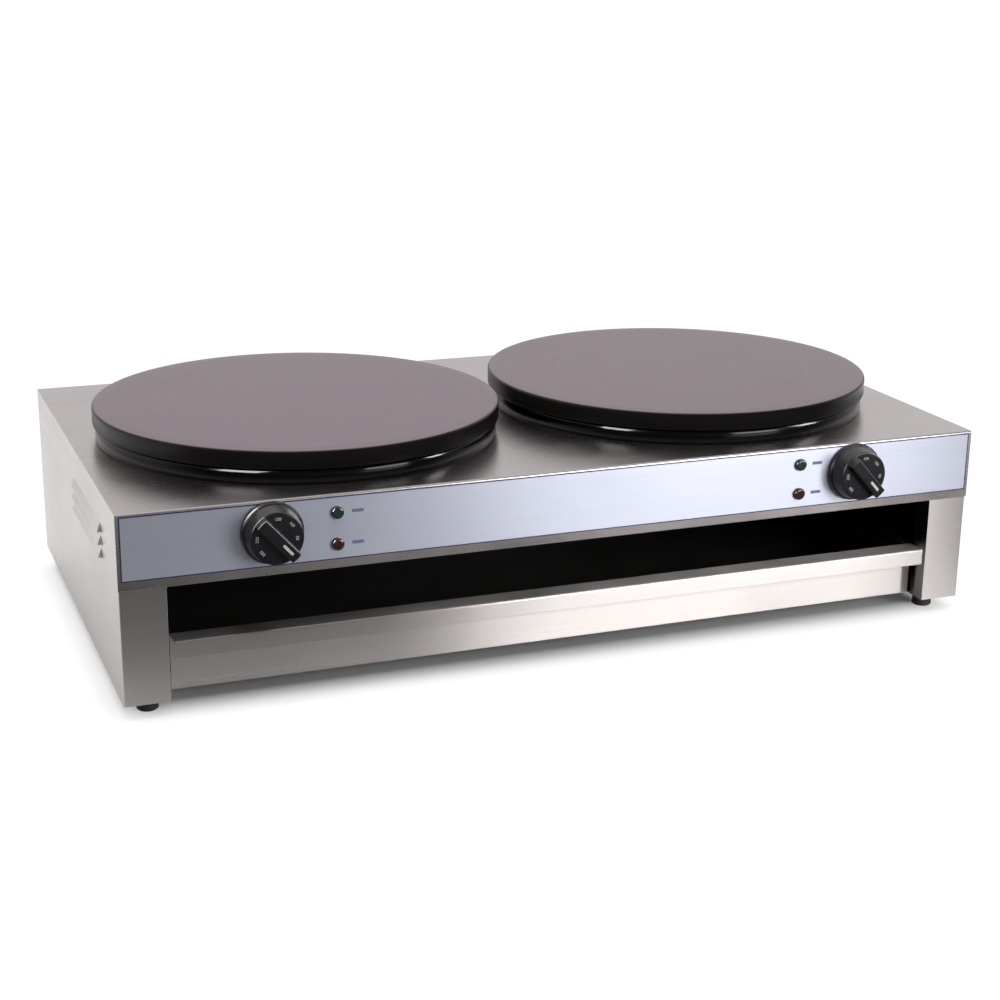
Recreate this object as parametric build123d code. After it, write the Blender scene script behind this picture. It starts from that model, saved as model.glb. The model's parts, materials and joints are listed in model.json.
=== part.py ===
from build123d import *
import math
import os

# Electric crepe maker: two round griddle plates on a folded sheet metal body with a drawer.
# Millimetres, +Z up. The origin is on the counter, at the centre of the whole footprint.
# The front of the object faces -Y. Right is +X, as seen from the front.

# ---------------------------------------------------------------- driving sizes

# Griddle plates, which set the width and depth of the body
plate_radius = 200.0
plate_gap = 16.0               # between the two plates
plate_side_margin = 22.0       # plate's edge to the side of the body
plate_front_margin = 27.0
plate_rear_margin = 43.0
plate_rise = 32.0              # deck to the cooking surface
plate_rim_height = 17.0
plate_rim_width = 14.0
plate_web = 12.0
plate_edge_radius = 2.5
plate_lower_radius = 1.2
ring_inset = 2.5               # plate's edge to the ring's wall
ring_sheet = 1.5
ring_shoulder = 5.0
ring_flange = 14.0

# Body
body_height = 177.0            # underside of the body to the top of the deck
foot_height = 14.0
cover_sheet = 1.2
side_sheet = 1.2
rear_sheet = 1.0
floor_sheet = 1.0
fold_radius = 2.0              # outside radius of the fold between deck and fascia
fascia_height = 69.0
fascia_return = 16.0           # width of the fascia's inward edge
seam_gap = 0.5                 # between sheets that are meant to pass each other

# Side panels
column_width = 42.0            # front face of each leg
column_return = 22.0           # depth of the leg's inner edge
rear_flange = 30.0
top_flange = 18.0
louvre_count = 3
louvre_length = 150.0
louvre_pitch = 12.0
louvre_height = 9.0
louvre_rise = 3.0              # how far a louvre stands out of the panel
louvre_top_drop = 35.0         # deck to the middle of the highest louvre
louvre_setback = 155.0         # front of the body to the middle of the louvres

# Heater under each plate
element_radius = 4.25
element_margin = 15.0          # clamp's edge to the middle of the outer loop
element_loop_gap = 60.0        # between the middles of the two loops
element_turn_angle = 70.0
element_end_angle = 100.0
element_bend = 12.0
element_leg = 42.0             # length of the straight cold ends below their bends
clamp_sheet = 1.2
clamp_margin = 24.0            # pan's wall to the clamp's edge
pan_margin = 23.5              # ring's wall to the pan's wall
pan_depth = 24.0               # deck underside to the pan's floor
pan_sheet = 1.0
pan_flange = 12.0
insulation_gap = 1.0           # between the insulation and the pan's wall
stud_radius = 4.0
stud_angles = (30.0, 150.0, 270.0)
stud_grip = 8.0                # thread depth in the plate
stud_tail = 14.0               # length of stud below the pan
stud_hole_play = 0.5
nut_flats = 13.0
nut_height = 6.5
nut_washer_radius = 9.0
nut_washer = 1.5
thread_play = 0.05

# Controls
control_inset = 136.0          # side of the body to the knob axis
control_drop = 29.0            # deck to the knob axis
lamp_offset = 60.0             # knob axis to the lamps
green_drop = 17.0
red_drop = 46.5
knob_radius = 28.5
knob_height = 29.0
knob_skirt = 4.5
knob_body_radius = 26.5
knob_top_radius = 24.0
knob_face = 20.0               # height of the round body, below the grip bar
knob_wall = 2.2
knob_boss_radius = 6.5
knob_bar_width = 11.0
knob_bar_root = 2.0            # depth of the bar inside the round body
knob_bar_step = 0.5            # the bar's ends stand back from the round body
knob_bar_turn = -48.0          # bar's direction at rest, from +X
knob_mark_start = 4.5          # knob axis to the inner end of the pointer groove
knob_mark_end = 17.5
knob_mark_width = 2.6
knob_mark_depth = 0.5
knob_gap = 0.8
knob_round = 1.2
shaft_radius = 3.0
shaft_flat = 1.5               # depth of the shaft's flat
shaft_grip = 17.0              # length of shaft inside the knob
shaft_play = 0.05              # radial, in the thermostat's bush
shaft_depth = 12.0             # length of shaft inside the thermostat
bush_radius = 5.0
bush_length = 1.8
bush_hole_play = 0.5
thermostat_width = 34.0
thermostat_height = 32.0
thermostat_depth = 26.0
bracket_width = 46.0
bracket_height = 38.0
bracket_sheet = 1.5
control_screw_pitch = 28.0
tab_width = 6.3
tab_length = 9.0
tab_sheet = 0.8
tab_pitch = 9.0
tab_rise = 6.0                 # knob axis to the thermostat's tabs
thermostat_corner = 3.0
bulb_radius = 3.0
bulb_end_gap = 35.0            # inner loop's middle to the end of the bulb
capillary_radius = 1.0
capillary_bend = 9.0
capillary_lead = 2.0           # straight piece of capillary between the bulb and its bend
capillary_drop_depth = 22.0    # pan's underside to the capillary's low run
capillary_straight = 30.0      # last straight run into the thermostat
heater_hole_play = 1.5         # round the element's legs and the capillary
lamp_lens_radius = 6.0
lamp_lens_height = 4.0
lamp_dome = 2.4                # rounding of the lens's front edge
lamp_tab_width = 3.2
lamp_tab_pitch = 5.0
lamp_body_radius = 4.9
lamp_body_length = 24.0
lamp_hole_play = 0.15
lamp_nut_radius = 7.5
lamp_nut_height = 4.0
film_thickness = 0.3
film_top_margin = 2.2
film_bottom_margin = 8.0
film_side_margin = 3.0

# Drawer
drawer_setback = 22.0          # fascia to the drawer's face
drawer_side_gap = 4.5          # leg's inner edge to the end of the drawer's face
drawer_top = 70.0              # counter to the top of the pull lip
drawer_lip = 16.0
drawer_face_bottom = 16.3
drawer_sheet = 1.2
drawer_fold = 1.8
drawer_screw_count = 4
drawer_screw_end = 94.0        # side of the tray to its end screws
drawer_screw_web = 0.4         # sheet left in front of each drawer screw
tray_inset = 6.5               # end of the drawer's face to the side of the tray
tray_sheet = 1.0
tray_bottom = 17.0
tray_top = 59.0
tray_rail = 10.0               # width of the tray's sliding flange
tray_rear_gap = 12.0
drawer_travel = 330.0
stop_height = 4.0
stop_length = 4.0
rail_play = 0.6                # between the sliding flange and its channel
runner_sheet = 1.2
runner_inside = 8.0            # clear height of the channel
runner_ledge = 8.0
runner_side_play = 0.8
bracket_length = 40.0
bracket_front = 60.0           # front of the body to the front runner bracket
bracket_rear = 40.0            # rear of the body to the rear runner bracket

# Rear panel
rear_slot_count = 8
rear_slot_length = 40.0
rear_slot_width = 4.0
rear_slot_pitch = 11.0
rear_slot_inset = 104.0        # plate's axis to the middle of its slots
rear_slot_drop = 32.0          # deck to the middle of the slots
gland_inset = 130.0            # side of the body to the gland's axis
gland_drop = 36.0
gland_thread_radius = 10.0
gland_bore_radius = 5.5
gland_flats = 24.0
gland_collar = 6.0
gland_dome = 10.0
gland_dome_radius = 11.0
gland_dome_round = 3.0
gland_inside = 12.0
gland_nut_height = 4.0
gland_hole_play = 0.2

# Terminal blocks and leads
block_length = 62.0
block_width = 24.0
block_height = 22.0
block_base = 13.0
block_wall = 3.0
clamp_width = 10.0
clamp_rise = 4.0               # height of each terminal clamp above the base
block_setback = 70.0           # rear of the body to the block's middle
block_poles = 3
block_pole_pitch = 18.0
lead_radius = 1.6
lead_bend = 6.0
lead_step = 20.0               # first straight run of a lead from the block
lead_straight = 12.0           # thermostat tab to the lead's first corner
lead_drop = 36.0               # thermostat tab to where the lead reaches its low run

# Feet and small fixings
foot_radius = 10.0
foot_top_radius = 9.0
foot_edge = 1.5                # bevel of the foot's lower edge
foot_x_inset = 25.0            # side of the body to the foot's axis
foot_y_inset = 26.0            # front and rear of the body to the foot's axis
foot_recess_radius = 6.0
foot_recess = 7.0
foot_screw_radius = 2.9
foot_screw_head_radius = 5.0
foot_screw_head = 4.0
foot_screw_tail = 2.0
foot_nut_flats = 10.0
foot_nut_height = 5.0
screw_radius = 2.0
screw_head_radius = 3.8
screw_head = 2.2
screw_head_round = 1.0
screw_play = 0.1
screw_tail = 3.0
floor_tab = 14.0               # height of the compartment floor's turned-up side tabs
floor_tab_length = 24.0
floor_screw_count = 5
floor_screw_end = 78.0         # leg's inner edge to the end floor screws
floor_screw_inset = 9.6        # front of the body to the row of floor screws
floor_side_screw = 50.0        # front and rear of the body to the side tabs' screws
rear_screw_inset = 20.0        # top and bottom of the body to the end screws of each row
flush_head = 0.9               # height of the flat heads behind the dials
cover_stud_inset = 10.0
cover_stud_end = 70.0          # front and rear of the body to the end studs
cover_stud_length = 9.0
cover_nut_flats = 7.0
cover_nut_height = 3.2

# ---------------------------------------------------------------- shared planes

gland_out = gland_collar + gland_dome
knob_out = film_thickness + knob_gap + knob_height
body_width = 4 * plate_radius + plate_gap + 2 * plate_side_margin
body_depth = 2 * plate_radius + plate_front_margin + plate_rear_margin
overall_depth = knob_out + body_depth + gland_out
front_y = -overall_depth / 2 + knob_out
rear_y = front_y + body_depth
middle_y = (front_y + rear_y) / 2
half_width = body_width / 2
body_bottom = foot_height
deck_top = foot_height + body_height
deck_under = deck_top - cover_sheet
fascia_bottom = deck_top - fascia_height
fascia_back = front_y + cover_sheet
side_front = fascia_back
side_rear = rear_y - rear_sheet
wall_inside = half_width - side_sheet
column_inside = half_width - column_width
floor_under = fascia_bottom + cover_sheet
floor_top = floor_under + floor_sheet
floor_front = side_front + side_sheet
floor_rear = side_rear - side_sheet
plate_x = plate_radius + plate_gap / 2
plate_y = front_y + plate_front_margin + plate_radius
plate_top = deck_top + plate_rise
plate_under = plate_top - plate_web
rim_under = plate_top - plate_rim_height
ring_radius = plate_radius - ring_inset
pan_radius = ring_radius - pan_margin
clamp_radius = pan_radius - clamp_margin
element_outer_loop = clamp_radius - element_margin
element_inner_loop = element_outer_loop - element_loop_gap
stud_circle = (element_outer_loop + element_inner_loop) / 2
bulb_length = 2 * (element_inner_loop - bulb_end_gap)
element_z = plate_under - element_radius
clamp_top = plate_under - 2 * element_radius
clamp_under = clamp_top - clamp_sheet
pan_floor = deck_under - pan_depth
pan_under = pan_floor - pan_sheet
control_x = half_width - control_inset
control_z = deck_top - control_drop
lamp_x = control_x - lamp_offset
gland_x = half_width - gland_inset
film_front = front_y - film_thickness
knob_back = film_front - knob_gap
drawer_face = front_y + drawer_setback
drawer_back = drawer_face + drawer_sheet
drawer_front_half = column_inside - drawer_side_gap
tray_half = drawer_front_half - tray_inset
tray_rear = side_rear - tray_rear_gap
runner_front = side_front + column_return + 2 * seam_gap
runner_rear = floor_rear - seam_gap
channel_floor = tray_top - tray_sheet - rail_play
channel_top = channel_floor + runner_inside
channel_back = tray_half + tray_rail + runner_side_play
stop_face = runner_front + runner_sheet

SIDES = (("left", -1), ("right", 1))
NEAR = 0.01                    # how close an edge lies to the place it is picked by


# ---------------------------------------------------------------- small helpers

def block(x0, x1, y0, y1, z0, z1):
    """A box between two corners."""
    size = (abs(x1 - x0), abs(y1 - y0), abs(z1 - z0))
    return Pos((x0 + x1) / 2, (y0 + y1) / 2, (z0 + z1) / 2) * Box(*size)


def rod_z(x, y, z0, z1, radius):
    """An upright cylinder."""
    return Pos(x, y, (z0 + z1) / 2) * Cylinder(radius, abs(z1 - z0))


def rod_y(x, z, y0, y1, radius):
    """A cylinder that points front to rear."""
    return Pos(x, (y0 + y1) / 2, z) * Rot(90, 0, 0) * Cylinder(radius, abs(y1 - y0))


def rod_x(y, z, x0, x1, radius):
    """A cylinder that points left to right."""
    return Pos((x0 + x1) / 2, y, z) * Rot(0, 90, 0) * Cylinder(radius, abs(x1 - x0))


def hexagon_z(x, y, z0, z1, flats):
    """An upright six-sided bar."""
    outline = RegularPolygon(flats / 2, 6, major_radius=False)
    return Pos(x, y, z0) * extrude(outline, z1 - z0)


def hexagon_y(x, z, y0, y1, flats):
    """A six-sided bar that points front to rear."""
    outline = Plane((x, y0, z), x_dir=(1, 0, 0), z_dir=(0, 1, 0)) * RegularPolygon(
        flats / 2, 6, major_radius=False
    )
    return extrude(outline, y1 - y0)


def screw_y(x, z, seat, way, grip):
    """A round-headed screw: the head stands on the seat and the shank runs the other way."""
    head = rod_y(x, z, seat, seat + way * screw_head, screw_head_radius)
    outer = head.faces().sort_by(Axis.Y)[-1 if way > 0 else 0]
    head = fillet(outer.edges(), screw_head_round)
    return head + rod_y(x, z, seat, seat - way * grip, screw_radius)


def screw_z(x, y, seat, grip):
    """A screw whose head hangs under the seat and whose shank points up."""
    head = rod_z(x, y, seat - screw_head, seat, screw_head_radius)
    head = fillet(head.faces().sort_by(Axis.Z)[0].edges(), screw_head_round)
    return head + rod_z(x, y, seat, seat + grip, screw_radius)


def on_circle(radius, angle):
    """A point on a circle round a plate's axis."""
    turn = math.radians(angle)
    return plate_x + radius * math.cos(turn), plate_y + radius * math.sin(turn)


def in_a_row(reach, count):
    """Evenly spaced places from left to right, as far as the reach on each side."""
    return [reach * (2 * n / (count - 1) - 1) for n in range(count)]


def tube(points, radius, bend):
    """A round lead along straight runs with rounded corners."""
    path = FilletPolyline(*points, radius=bend)
    start = Plane(origin=path @ 0, z_dir=path % 0)
    return sweep(start * Circle(radius), path=path)


def edges_along_x(shape, y, z):
    """The edges that run left to right at one height and one place front to rear."""
    return shape.edges().filter_by(Axis.X).filter_by(
        lambda e: abs(e.center().Y - y) < NEAR and abs(e.center().Z - z) < NEAR
    )


def handed(shape, side):
    """The shape as built for the right, or its mirror image for the left."""
    return shape if side > 0 else mirror(shape, Plane.YZ)


def write(shape, node):
    """One STEP file for one sub-part."""
    solids = shape.solids()
    export_step(solids[0] if len(solids) == 1 else Compound(solids), f"parts/{node}.step")


# ---------------------------------------------------------------- body shell

TAB_Z = control_z + tab_rise
CONTROL_SCREWS = (control_z - control_screw_pitch / 2, control_z + control_screw_pitch / 2)
LAMP_LEVELS = (("green", deck_top - green_drop), ("red", deck_top - red_drop))
FLOOR_SCREW_X = in_a_row(column_inside - floor_screw_end, floor_screw_count)
FLOOR_SCREW_Y = front_y + floor_screw_inset
COVER_STUD_Y = (front_y + cover_stud_end, middle_y, rear_y - cover_stud_end)
FOOT_Y = (("front", front_y + foot_y_inset), ("rear", rear_y - foot_y_inset))
REAR_SCREW_Z = (body_bottom + rear_screw_inset, body_bottom + body_height / 2, deck_top - rear_screw_inset)
REAR_SCREW_X = half_width - rear_flange / 2


def control_holes(y0, y1, play):
    """Holes for the thermostat bushes, their screws and the pilot lamps."""
    holes = []
    for _, side in SIDES:
        dial = side * control_x
        lamp = side * lamp_x
        holes.append(rod_y(dial, control_z, y0, y1, bush_radius + bush_hole_play + play))
        for level in CONTROL_SCREWS:
            holes.append(rod_y(dial, level, y0, y1, screw_radius + screw_play + play))
        for _, level in LAMP_LEVELS:
            holes.append(rod_y(lamp, level, y0, y1, lamp_body_radius + lamp_hole_play + play))
    return holes


def make_top_cover():
    """Deck, fascia and the fascia's inward edge, folded from one sheet."""
    deck = block(-half_width, half_width, front_y, rear_y, deck_under, deck_top)
    fascia = block(-half_width, half_width, front_y, fascia_back, fascia_bottom, deck_top)
    inward = column_inside - seam_gap
    edge = block(-inward, inward, front_y, front_y + fascia_return, fascia_bottom, floor_under)
    cover = deck + fascia + edge
    cover = fillet(edges_along_x(cover, front_y, deck_top), fold_radius)
    cover = fillet(edges_along_x(cover, fascia_back, deck_under), fold_radius - cover_sheet)
    for _, side in SIDES:
        cover -= rod_z(side * plate_x, plate_y, deck_under - 1, deck_top + 1, pan_radius)
        for y in COVER_STUD_Y:
            x = side * (half_width - cover_stud_inset)
            cover += rod_z(x, y, deck_under - cover_stud_length, deck_under, screw_radius)
    for hole in control_holes(front_y - 1, fascia_back + 1, 0.0):
        cover -= hole
    for x in FLOOR_SCREW_X:
        cover -= rod_z(x, FLOOR_SCREW_Y, fascia_bottom - 1, floor_under + 1, screw_radius + screw_play)
    return cover


def make_control_film():
    """Thin printed film on the fascia, with the same holes a little larger."""
    film = block(
        -half_width + film_side_margin, half_width - film_side_margin, film_front, front_y,
        fascia_bottom + film_bottom_margin, deck_top - film_top_margin,
    )
    for hole in control_holes(film_front - 1, front_y + 1, seam_gap):
        film -= hole
    return film


def make_louvre(z):
    """A pressed hood over a slot in the right side panel: its shell, ends included."""
    y0 = front_y + louvre_setback - louvre_length / 2
    y1 = y0 + louvre_length
    top = z + louvre_height / 2
    low = z - louvre_height / 2
    out = half_width + louvre_rise
    shell = Plane((0, y1, 0), x_dir=(1, 0, 0), z_dir=(0, -1, 0)) * make_face(
        Polyline((half_width, top), (out, low + side_sheet), (out, low), (half_width, low), close=True)
    )
    hollow = Plane((0, y1 - side_sheet, 0), x_dir=(1, 0, 0), z_dir=(0, -1, 0)) * make_face(
        Polyline(
            (half_width - 2 * side_sheet, top - side_sheet),
            (half_width - side_sheet, top - side_sheet),
            (out - side_sheet, low + side_sheet),
            (out - side_sheet, low - 1),
            (half_width - 2 * side_sheet, low - 1),
            close=True,
        )
    )
    slot_low = block(
        half_width - 2 * side_sheet, out - side_sheet,
        y0 + side_sheet, y1 - side_sheet, low, low + side_sheet,
    )
    return extrude(shell, louvre_length), extrude(hollow, louvre_length - 2 * side_sheet) + slot_low


def make_side_panel():
    """Right side panel: wall, leg, inner edge, and flanges for the cover, floor, rear and feet."""
    wall = block(wall_inside, half_width, side_front, side_rear, body_bottom, deck_under)
    leg = block(column_inside, half_width, side_front, side_front + side_sheet, body_bottom, deck_under)
    inner = block(
        column_inside, column_inside + side_sheet, side_front, side_front + column_return,
        body_bottom, fascia_bottom - seam_gap,
    )
    rear = block(half_width - rear_flange, half_width, side_rear - side_sheet, side_rear,
                 body_bottom, deck_under)
    top = block(half_width - top_flange, half_width, side_front, side_rear,
                deck_under - side_sheet, deck_under)
    foot = block(column_inside, half_width, side_front, side_rear, body_bottom, body_bottom + side_sheet)
    panel = wall + leg + inner + rear + top + foot
    upright = panel.edges().filter_by(Axis.Z).filter_by(
        lambda e: e.center().X > half_width - NEAR and e.center().Y < side_front + NEAR
    )
    panel = fillet(upright, fold_radius)
    fold = fold_radius - cover_sheet
    panel -= block(column_inside - 1, half_width + 1, side_front - 1, side_front + fold,
                   deck_under - fold, deck_under + 1)
    for n in range(louvre_count):
        shell, hollow = make_louvre(deck_top - louvre_top_drop - n * louvre_pitch)
        panel = panel + shell - hollow
    for y in COVER_STUD_Y:
        panel -= rod_z(half_width - cover_stud_inset, y, deck_under - 2 * side_sheet, deck_under + 1,
                       screw_radius + screw_play)
    for _, y in FOOT_Y:
        panel -= rod_z(half_width - foot_x_inset, y, body_bottom - 1, body_bottom + 2 * side_sheet,
                       foot_screw_radius + screw_play)
    for z in REAR_SCREW_Z:
        panel -= rod_y(REAR_SCREW_X, z, side_rear - 2 * side_sheet, side_rear + 1,
                       screw_radius + screw_play)
    return panel


def make_rear_panel():
    """Flat rear panel with vent slots and two cable gland holes."""
    panel = block(-half_width, half_width, side_rear, rear_y, body_bottom, deck_under)
    row = rear_slot_pitch * (rear_slot_count - 1)
    z = deck_top - rear_slot_drop
    for _, side in SIDES:
        for n in range(rear_slot_count):
            x = side * (plate_x - rear_slot_inset) - row / 2 + n * rear_slot_pitch
            slot = block(x - rear_slot_width / 2, x + rear_slot_width / 2, side_rear - 1, rear_y + 1,
                         z - rear_slot_length / 2, z + rear_slot_length / 2)
            panel -= fillet(slot.edges().filter_by(Axis.Y), rear_slot_width / 2 - NEAR)
        panel -= rod_y(side * gland_x, deck_top - gland_drop, side_rear - 1, rear_y + 1,
                       gland_thread_radius + gland_hole_play)
        for level in REAR_SCREW_Z:
            panel -= rod_y(side * REAR_SCREW_X, level, side_rear - 1, rear_y + 1, screw_radius + screw_play)
    return panel


FLOOR_SIDE_SCREW_Y = (front_y + floor_side_screw, rear_y - floor_side_screw)
FLOOR_SIDE_SCREW_Z = floor_top + floor_tab / 2


def make_compartment_floor():
    """Sheet that closes the electrical compartment, with tabs turned up along its sides."""
    width = wall_inside
    floor = block(-width, width, floor_front, floor_rear, floor_under, floor_top)
    for _, side in SIDES:
        for y in FLOOR_SIDE_SCREW_Y:
            floor += block(side * (width - floor_sheet), side * width, y - floor_tab_length / 2,
                           y + floor_tab_length / 2, floor_under, floor_top + floor_tab)
            floor -= rod_x(y, FLOOR_SIDE_SCREW_Z, side * (width - 2 * floor_sheet),
                           side * (width + 1), screw_radius + screw_play)
    for x in FLOOR_SCREW_X:
        floor -= rod_z(x, FLOOR_SCREW_Y, floor_under - 1, floor_top + 1, screw_radius + screw_play)
    return floor


# ---------------------------------------------------------------- griddle plates and heaters

def stud_points():
    """Where the three studs stand on their circle."""
    return [on_circle(stud_circle, angle) for angle in stud_angles]


def element_path():
    """Two loops in one plane joined by a turn, with both ends bent straight down."""
    centre = (plate_x, plate_y, element_z)
    sweep_angle = 360.0 - (element_end_angle - element_turn_angle)
    outer = CenterArc(centre, element_outer_loop, element_end_angle, sweep_angle)
    inner = CenterArc(centre, element_inner_loop, element_end_angle, sweep_angle)
    x, y = on_circle(stud_circle, element_turn_angle)
    turn = CenterArc((x, y, element_z), (element_outer_loop - element_inner_loop) / 2,
                     element_turn_angle, 180.0)
    ends = []
    for loop in (element_outer_loop, element_inner_loop):
        x, y = on_circle(loop, element_end_angle)
        away = math.radians(element_end_angle - 90.0)
        ax, ay = math.cos(away), math.sin(away)
        low = (x + ax * element_bend, y + ay * element_bend, element_z - element_bend)
        bend = TangentArc((x, y, element_z), low, tangent=(ax, ay, 0))
        leg = Line(low, (low[0], low[1], low[2] - element_leg))
        ends.append((bend, leg, low))
    return outer, turn, inner, ends


def leg_points():
    """Where the element's two cold ends go down through the heater stack."""
    return [(low[0], low[1]) for _, _, low in element_path()[3]]


def make_plate():
    """Cast griddle plate: a thick web with a deeper rim, and blind holes for its studs."""
    plate = rod_z(plate_x, plate_y, rim_under, plate_top, plate_radius)
    plate = fillet(plate.faces().sort_by(Axis.Z)[-1].edges(), plate_edge_radius)
    plate = fillet(plate.faces().sort_by(Axis.Z)[0].edges(), plate_lower_radius)
    plate -= rod_z(plate_x, plate_y, rim_under - 1, plate_under, plate_radius - plate_rim_width)
    for x, y in stud_points():
        plate -= rod_z(x, y, plate_under - 1, plate_under + stud_grip + 1, stud_radius + thread_play)
    return plate


def make_plate_ring():
    """Rolled ring that carries the plate's rim above the deck."""
    ring = rod_z(plate_x, plate_y, deck_top, rim_under, ring_radius)
    ring = fillet(ring.faces().sort_by(Axis.Z)[-1].edges(), ring_shoulder)
    hollow = rod_z(plate_x, plate_y, deck_top, rim_under - ring_sheet, ring_radius - ring_sheet)
    hollow = fillet(hollow.faces().sort_by(Axis.Z)[-1].edges(), ring_shoulder - ring_sheet)
    mouth = rod_z(plate_x, plate_y, deck_top - 1, rim_under + 1, ring_radius - ring_flange)
    return ring - hollow - mouth


def make_heater_pan():
    """Pan that hangs under the deck and holds the insulation."""
    flange = rod_z(plate_x, plate_y, deck_under - pan_sheet, deck_under, pan_radius + pan_flange)
    bowl = rod_z(plate_x, plate_y, pan_under, deck_under, pan_radius)
    pan = flange + bowl - rod_z(plate_x, plate_y, pan_floor, deck_under + 1, pan_radius - pan_sheet)
    for x, y in stud_points():
        pan -= rod_z(x, y, pan_under - 1, pan_floor + 1, stud_radius + stud_hole_play)
    for x, y in leg_points():
        pan -= rod_z(x, y, pan_under - 1, pan_floor + 1, element_radius + heater_hole_play)
    x, y = capillary_drop()
    return pan - rod_z(x, y, pan_under - 1, pan_floor + 1, capillary_radius + heater_hole_play)


def make_insulation():
    """Rigid fibre disc between the pan and the element's clamp."""
    pad = rod_z(plate_x, plate_y, pan_floor, clamp_under, pan_radius - pan_sheet - insulation_gap)
    for x, y in stud_points():
        pad -= rod_z(x, y, pan_floor - 1, clamp_under + 1, nut_washer_radius + stud_hole_play)
    for x, y in leg_points():
        pad -= rod_z(x, y, pan_floor - 1, clamp_under + 1, element_radius + heater_hole_play)
    for slot in leg_slots(element_z - element_bend, clamp_under + 1):
        pad -= slot
    x, y = capillary_drop()
    return pad - rod_z(x, y, pan_floor - 1, clamp_under + 1, capillary_radius + heater_hole_play)


def make_element():
    """Tubular heating element."""
    outer, turn, inner, ends = element_path()
    path = Wire([outer, turn, inner] + [edge for bend, leg, _ in ends for edge in (bend, leg)])
    start = path @ 0
    return sweep(Plane(origin=start, z_dir=path % 0) * Circle(element_radius), path=path)


def leg_slots(z0, z1):
    """Slots that clear the element's two bends, from where they start down to their legs."""
    turn = element_end_angle - 90.0
    wide = element_radius + heater_hole_play
    slots = []
    for x, y in leg_points():
        slot = Pos(-element_bend / 2, 0, 0) * Box(element_bend, 2 * wide, z1 - z0)
        slot += Cylinder(wide, z1 - z0)
        slots.append(Pos(x, y, (z0 + z1) / 2) * Rot(0, 0, turn) * slot)
    return slots


def make_clamp():
    """Disc that presses the element against the plate."""
    disc = rod_z(plate_x, plate_y, clamp_under, clamp_top, clamp_radius)
    for x, y in stud_points():
        disc -= rod_z(x, y, clamp_under - 1, clamp_top + 1, stud_radius + stud_hole_play)
    for slot in leg_slots(clamp_under - 1, clamp_top + 1):
        disc -= slot
    x, y = capillary_drop()
    return disc - rod_z(x, y, clamp_under - 1, clamp_top + 1, capillary_radius + heater_hole_play)


def make_studs():
    """Three studs that pull the plate, ring, deck and pan together."""
    return [
        rod_z(x, y, pan_under - stud_tail, plate_under + stud_grip, stud_radius) for x, y in stud_points()
    ]


def make_stud_nuts():
    """Nuts for one plate: under the element's clamp, and flanged ones under the pan."""
    nuts = []
    for x, y in stud_points():
        bore = rod_z(x, y, pan_under - stud_tail, plate_under, stud_radius + thread_play)
        nuts.append(hexagon_z(x, y, clamp_under - nut_height, clamp_under, nut_flats) - bore)
        washer = rod_z(x, y, pan_under - nut_washer, pan_under, nut_washer_radius)
        hexagon = hexagon_z(x, y, pan_under - nut_washer - nut_height, pan_under - nut_washer, nut_flats)
        nuts.append(washer + hexagon - bore)
    return nuts


# ---------------------------------------------------------------- controls

def capillary_drop():
    """Where the thermostat's capillary goes down through the heater stack."""
    return plate_x + bulb_length / 2 + capillary_bend + capillary_lead, plate_y


def make_bulb():
    """Thermostat's sensing bulb under the plate, with its capillary to the thermostat."""
    z = plate_under - bulb_radius
    bulb = rod_x(plate_y, z, plate_x - bulb_length / 2, plate_x + bulb_length / 2, bulb_radius)
    x, y = capillary_drop()
    low = pan_under - capillary_drop_depth
    rear = fascia_back + bracket_sheet + thermostat_depth
    route = [
        (plate_x + bulb_length / 2 - capillary_radius, y, z),
        (x, y, z),
        (x, y, low),
        (control_x, rear + capillary_straight, low),
        (control_x, rear, low),
    ]
    return bulb + tube(route, capillary_radius, capillary_bend)


def make_thermostat():
    """Capillary thermostat: bracket against the fascia, body, bush and rear tabs."""
    back = fascia_back + bracket_sheet
    bracket = block(control_x - bracket_width / 2, control_x + bracket_width / 2, fascia_back, back,
                    control_z - bracket_height / 2, control_z + bracket_height / 2)
    body = block(control_x - thermostat_width / 2, control_x + thermostat_width / 2,
                 back, back + thermostat_depth,
                 control_z - thermostat_height / 2, control_z + thermostat_height / 2)
    body = fillet(body.edges().filter_by(Axis.Y), thermostat_corner)
    bush = rod_y(control_x, control_z, fascia_back - bush_length, fascia_back, bush_radius)
    shape = bracket + body + bush
    for n in range(-1, 2):
        x = control_x + n * tab_pitch
        shape += block(x - tab_sheet / 2, x + tab_sheet / 2, back + thermostat_depth,
                       back + thermostat_depth + tab_length,
                       TAB_Z - tab_width / 2, TAB_Z + tab_width / 2)
    shape -= rod_y(control_x, control_z, fascia_back - bush_length - 1,
                   fascia_back + shaft_depth + seam_gap, shaft_radius + shaft_play)
    for z in CONTROL_SCREWS:
        shape -= rod_y(control_x, z, fascia_back - 1, back + screw_tail + seam_gap,
                       screw_radius + thread_play)
    return shape


def make_shaft():
    """Thermostat shaft with a flat where the knob grips it."""
    tip = knob_back - shaft_grip
    shaft = rod_y(control_x, control_z, tip, fascia_back + shaft_depth, shaft_radius)
    flat = block(control_x - shaft_radius, control_x + shaft_radius, tip - 1, knob_back,
                 control_z + shaft_radius - shaft_flat, control_z + shaft_radius + 1)
    return shaft - flat


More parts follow.
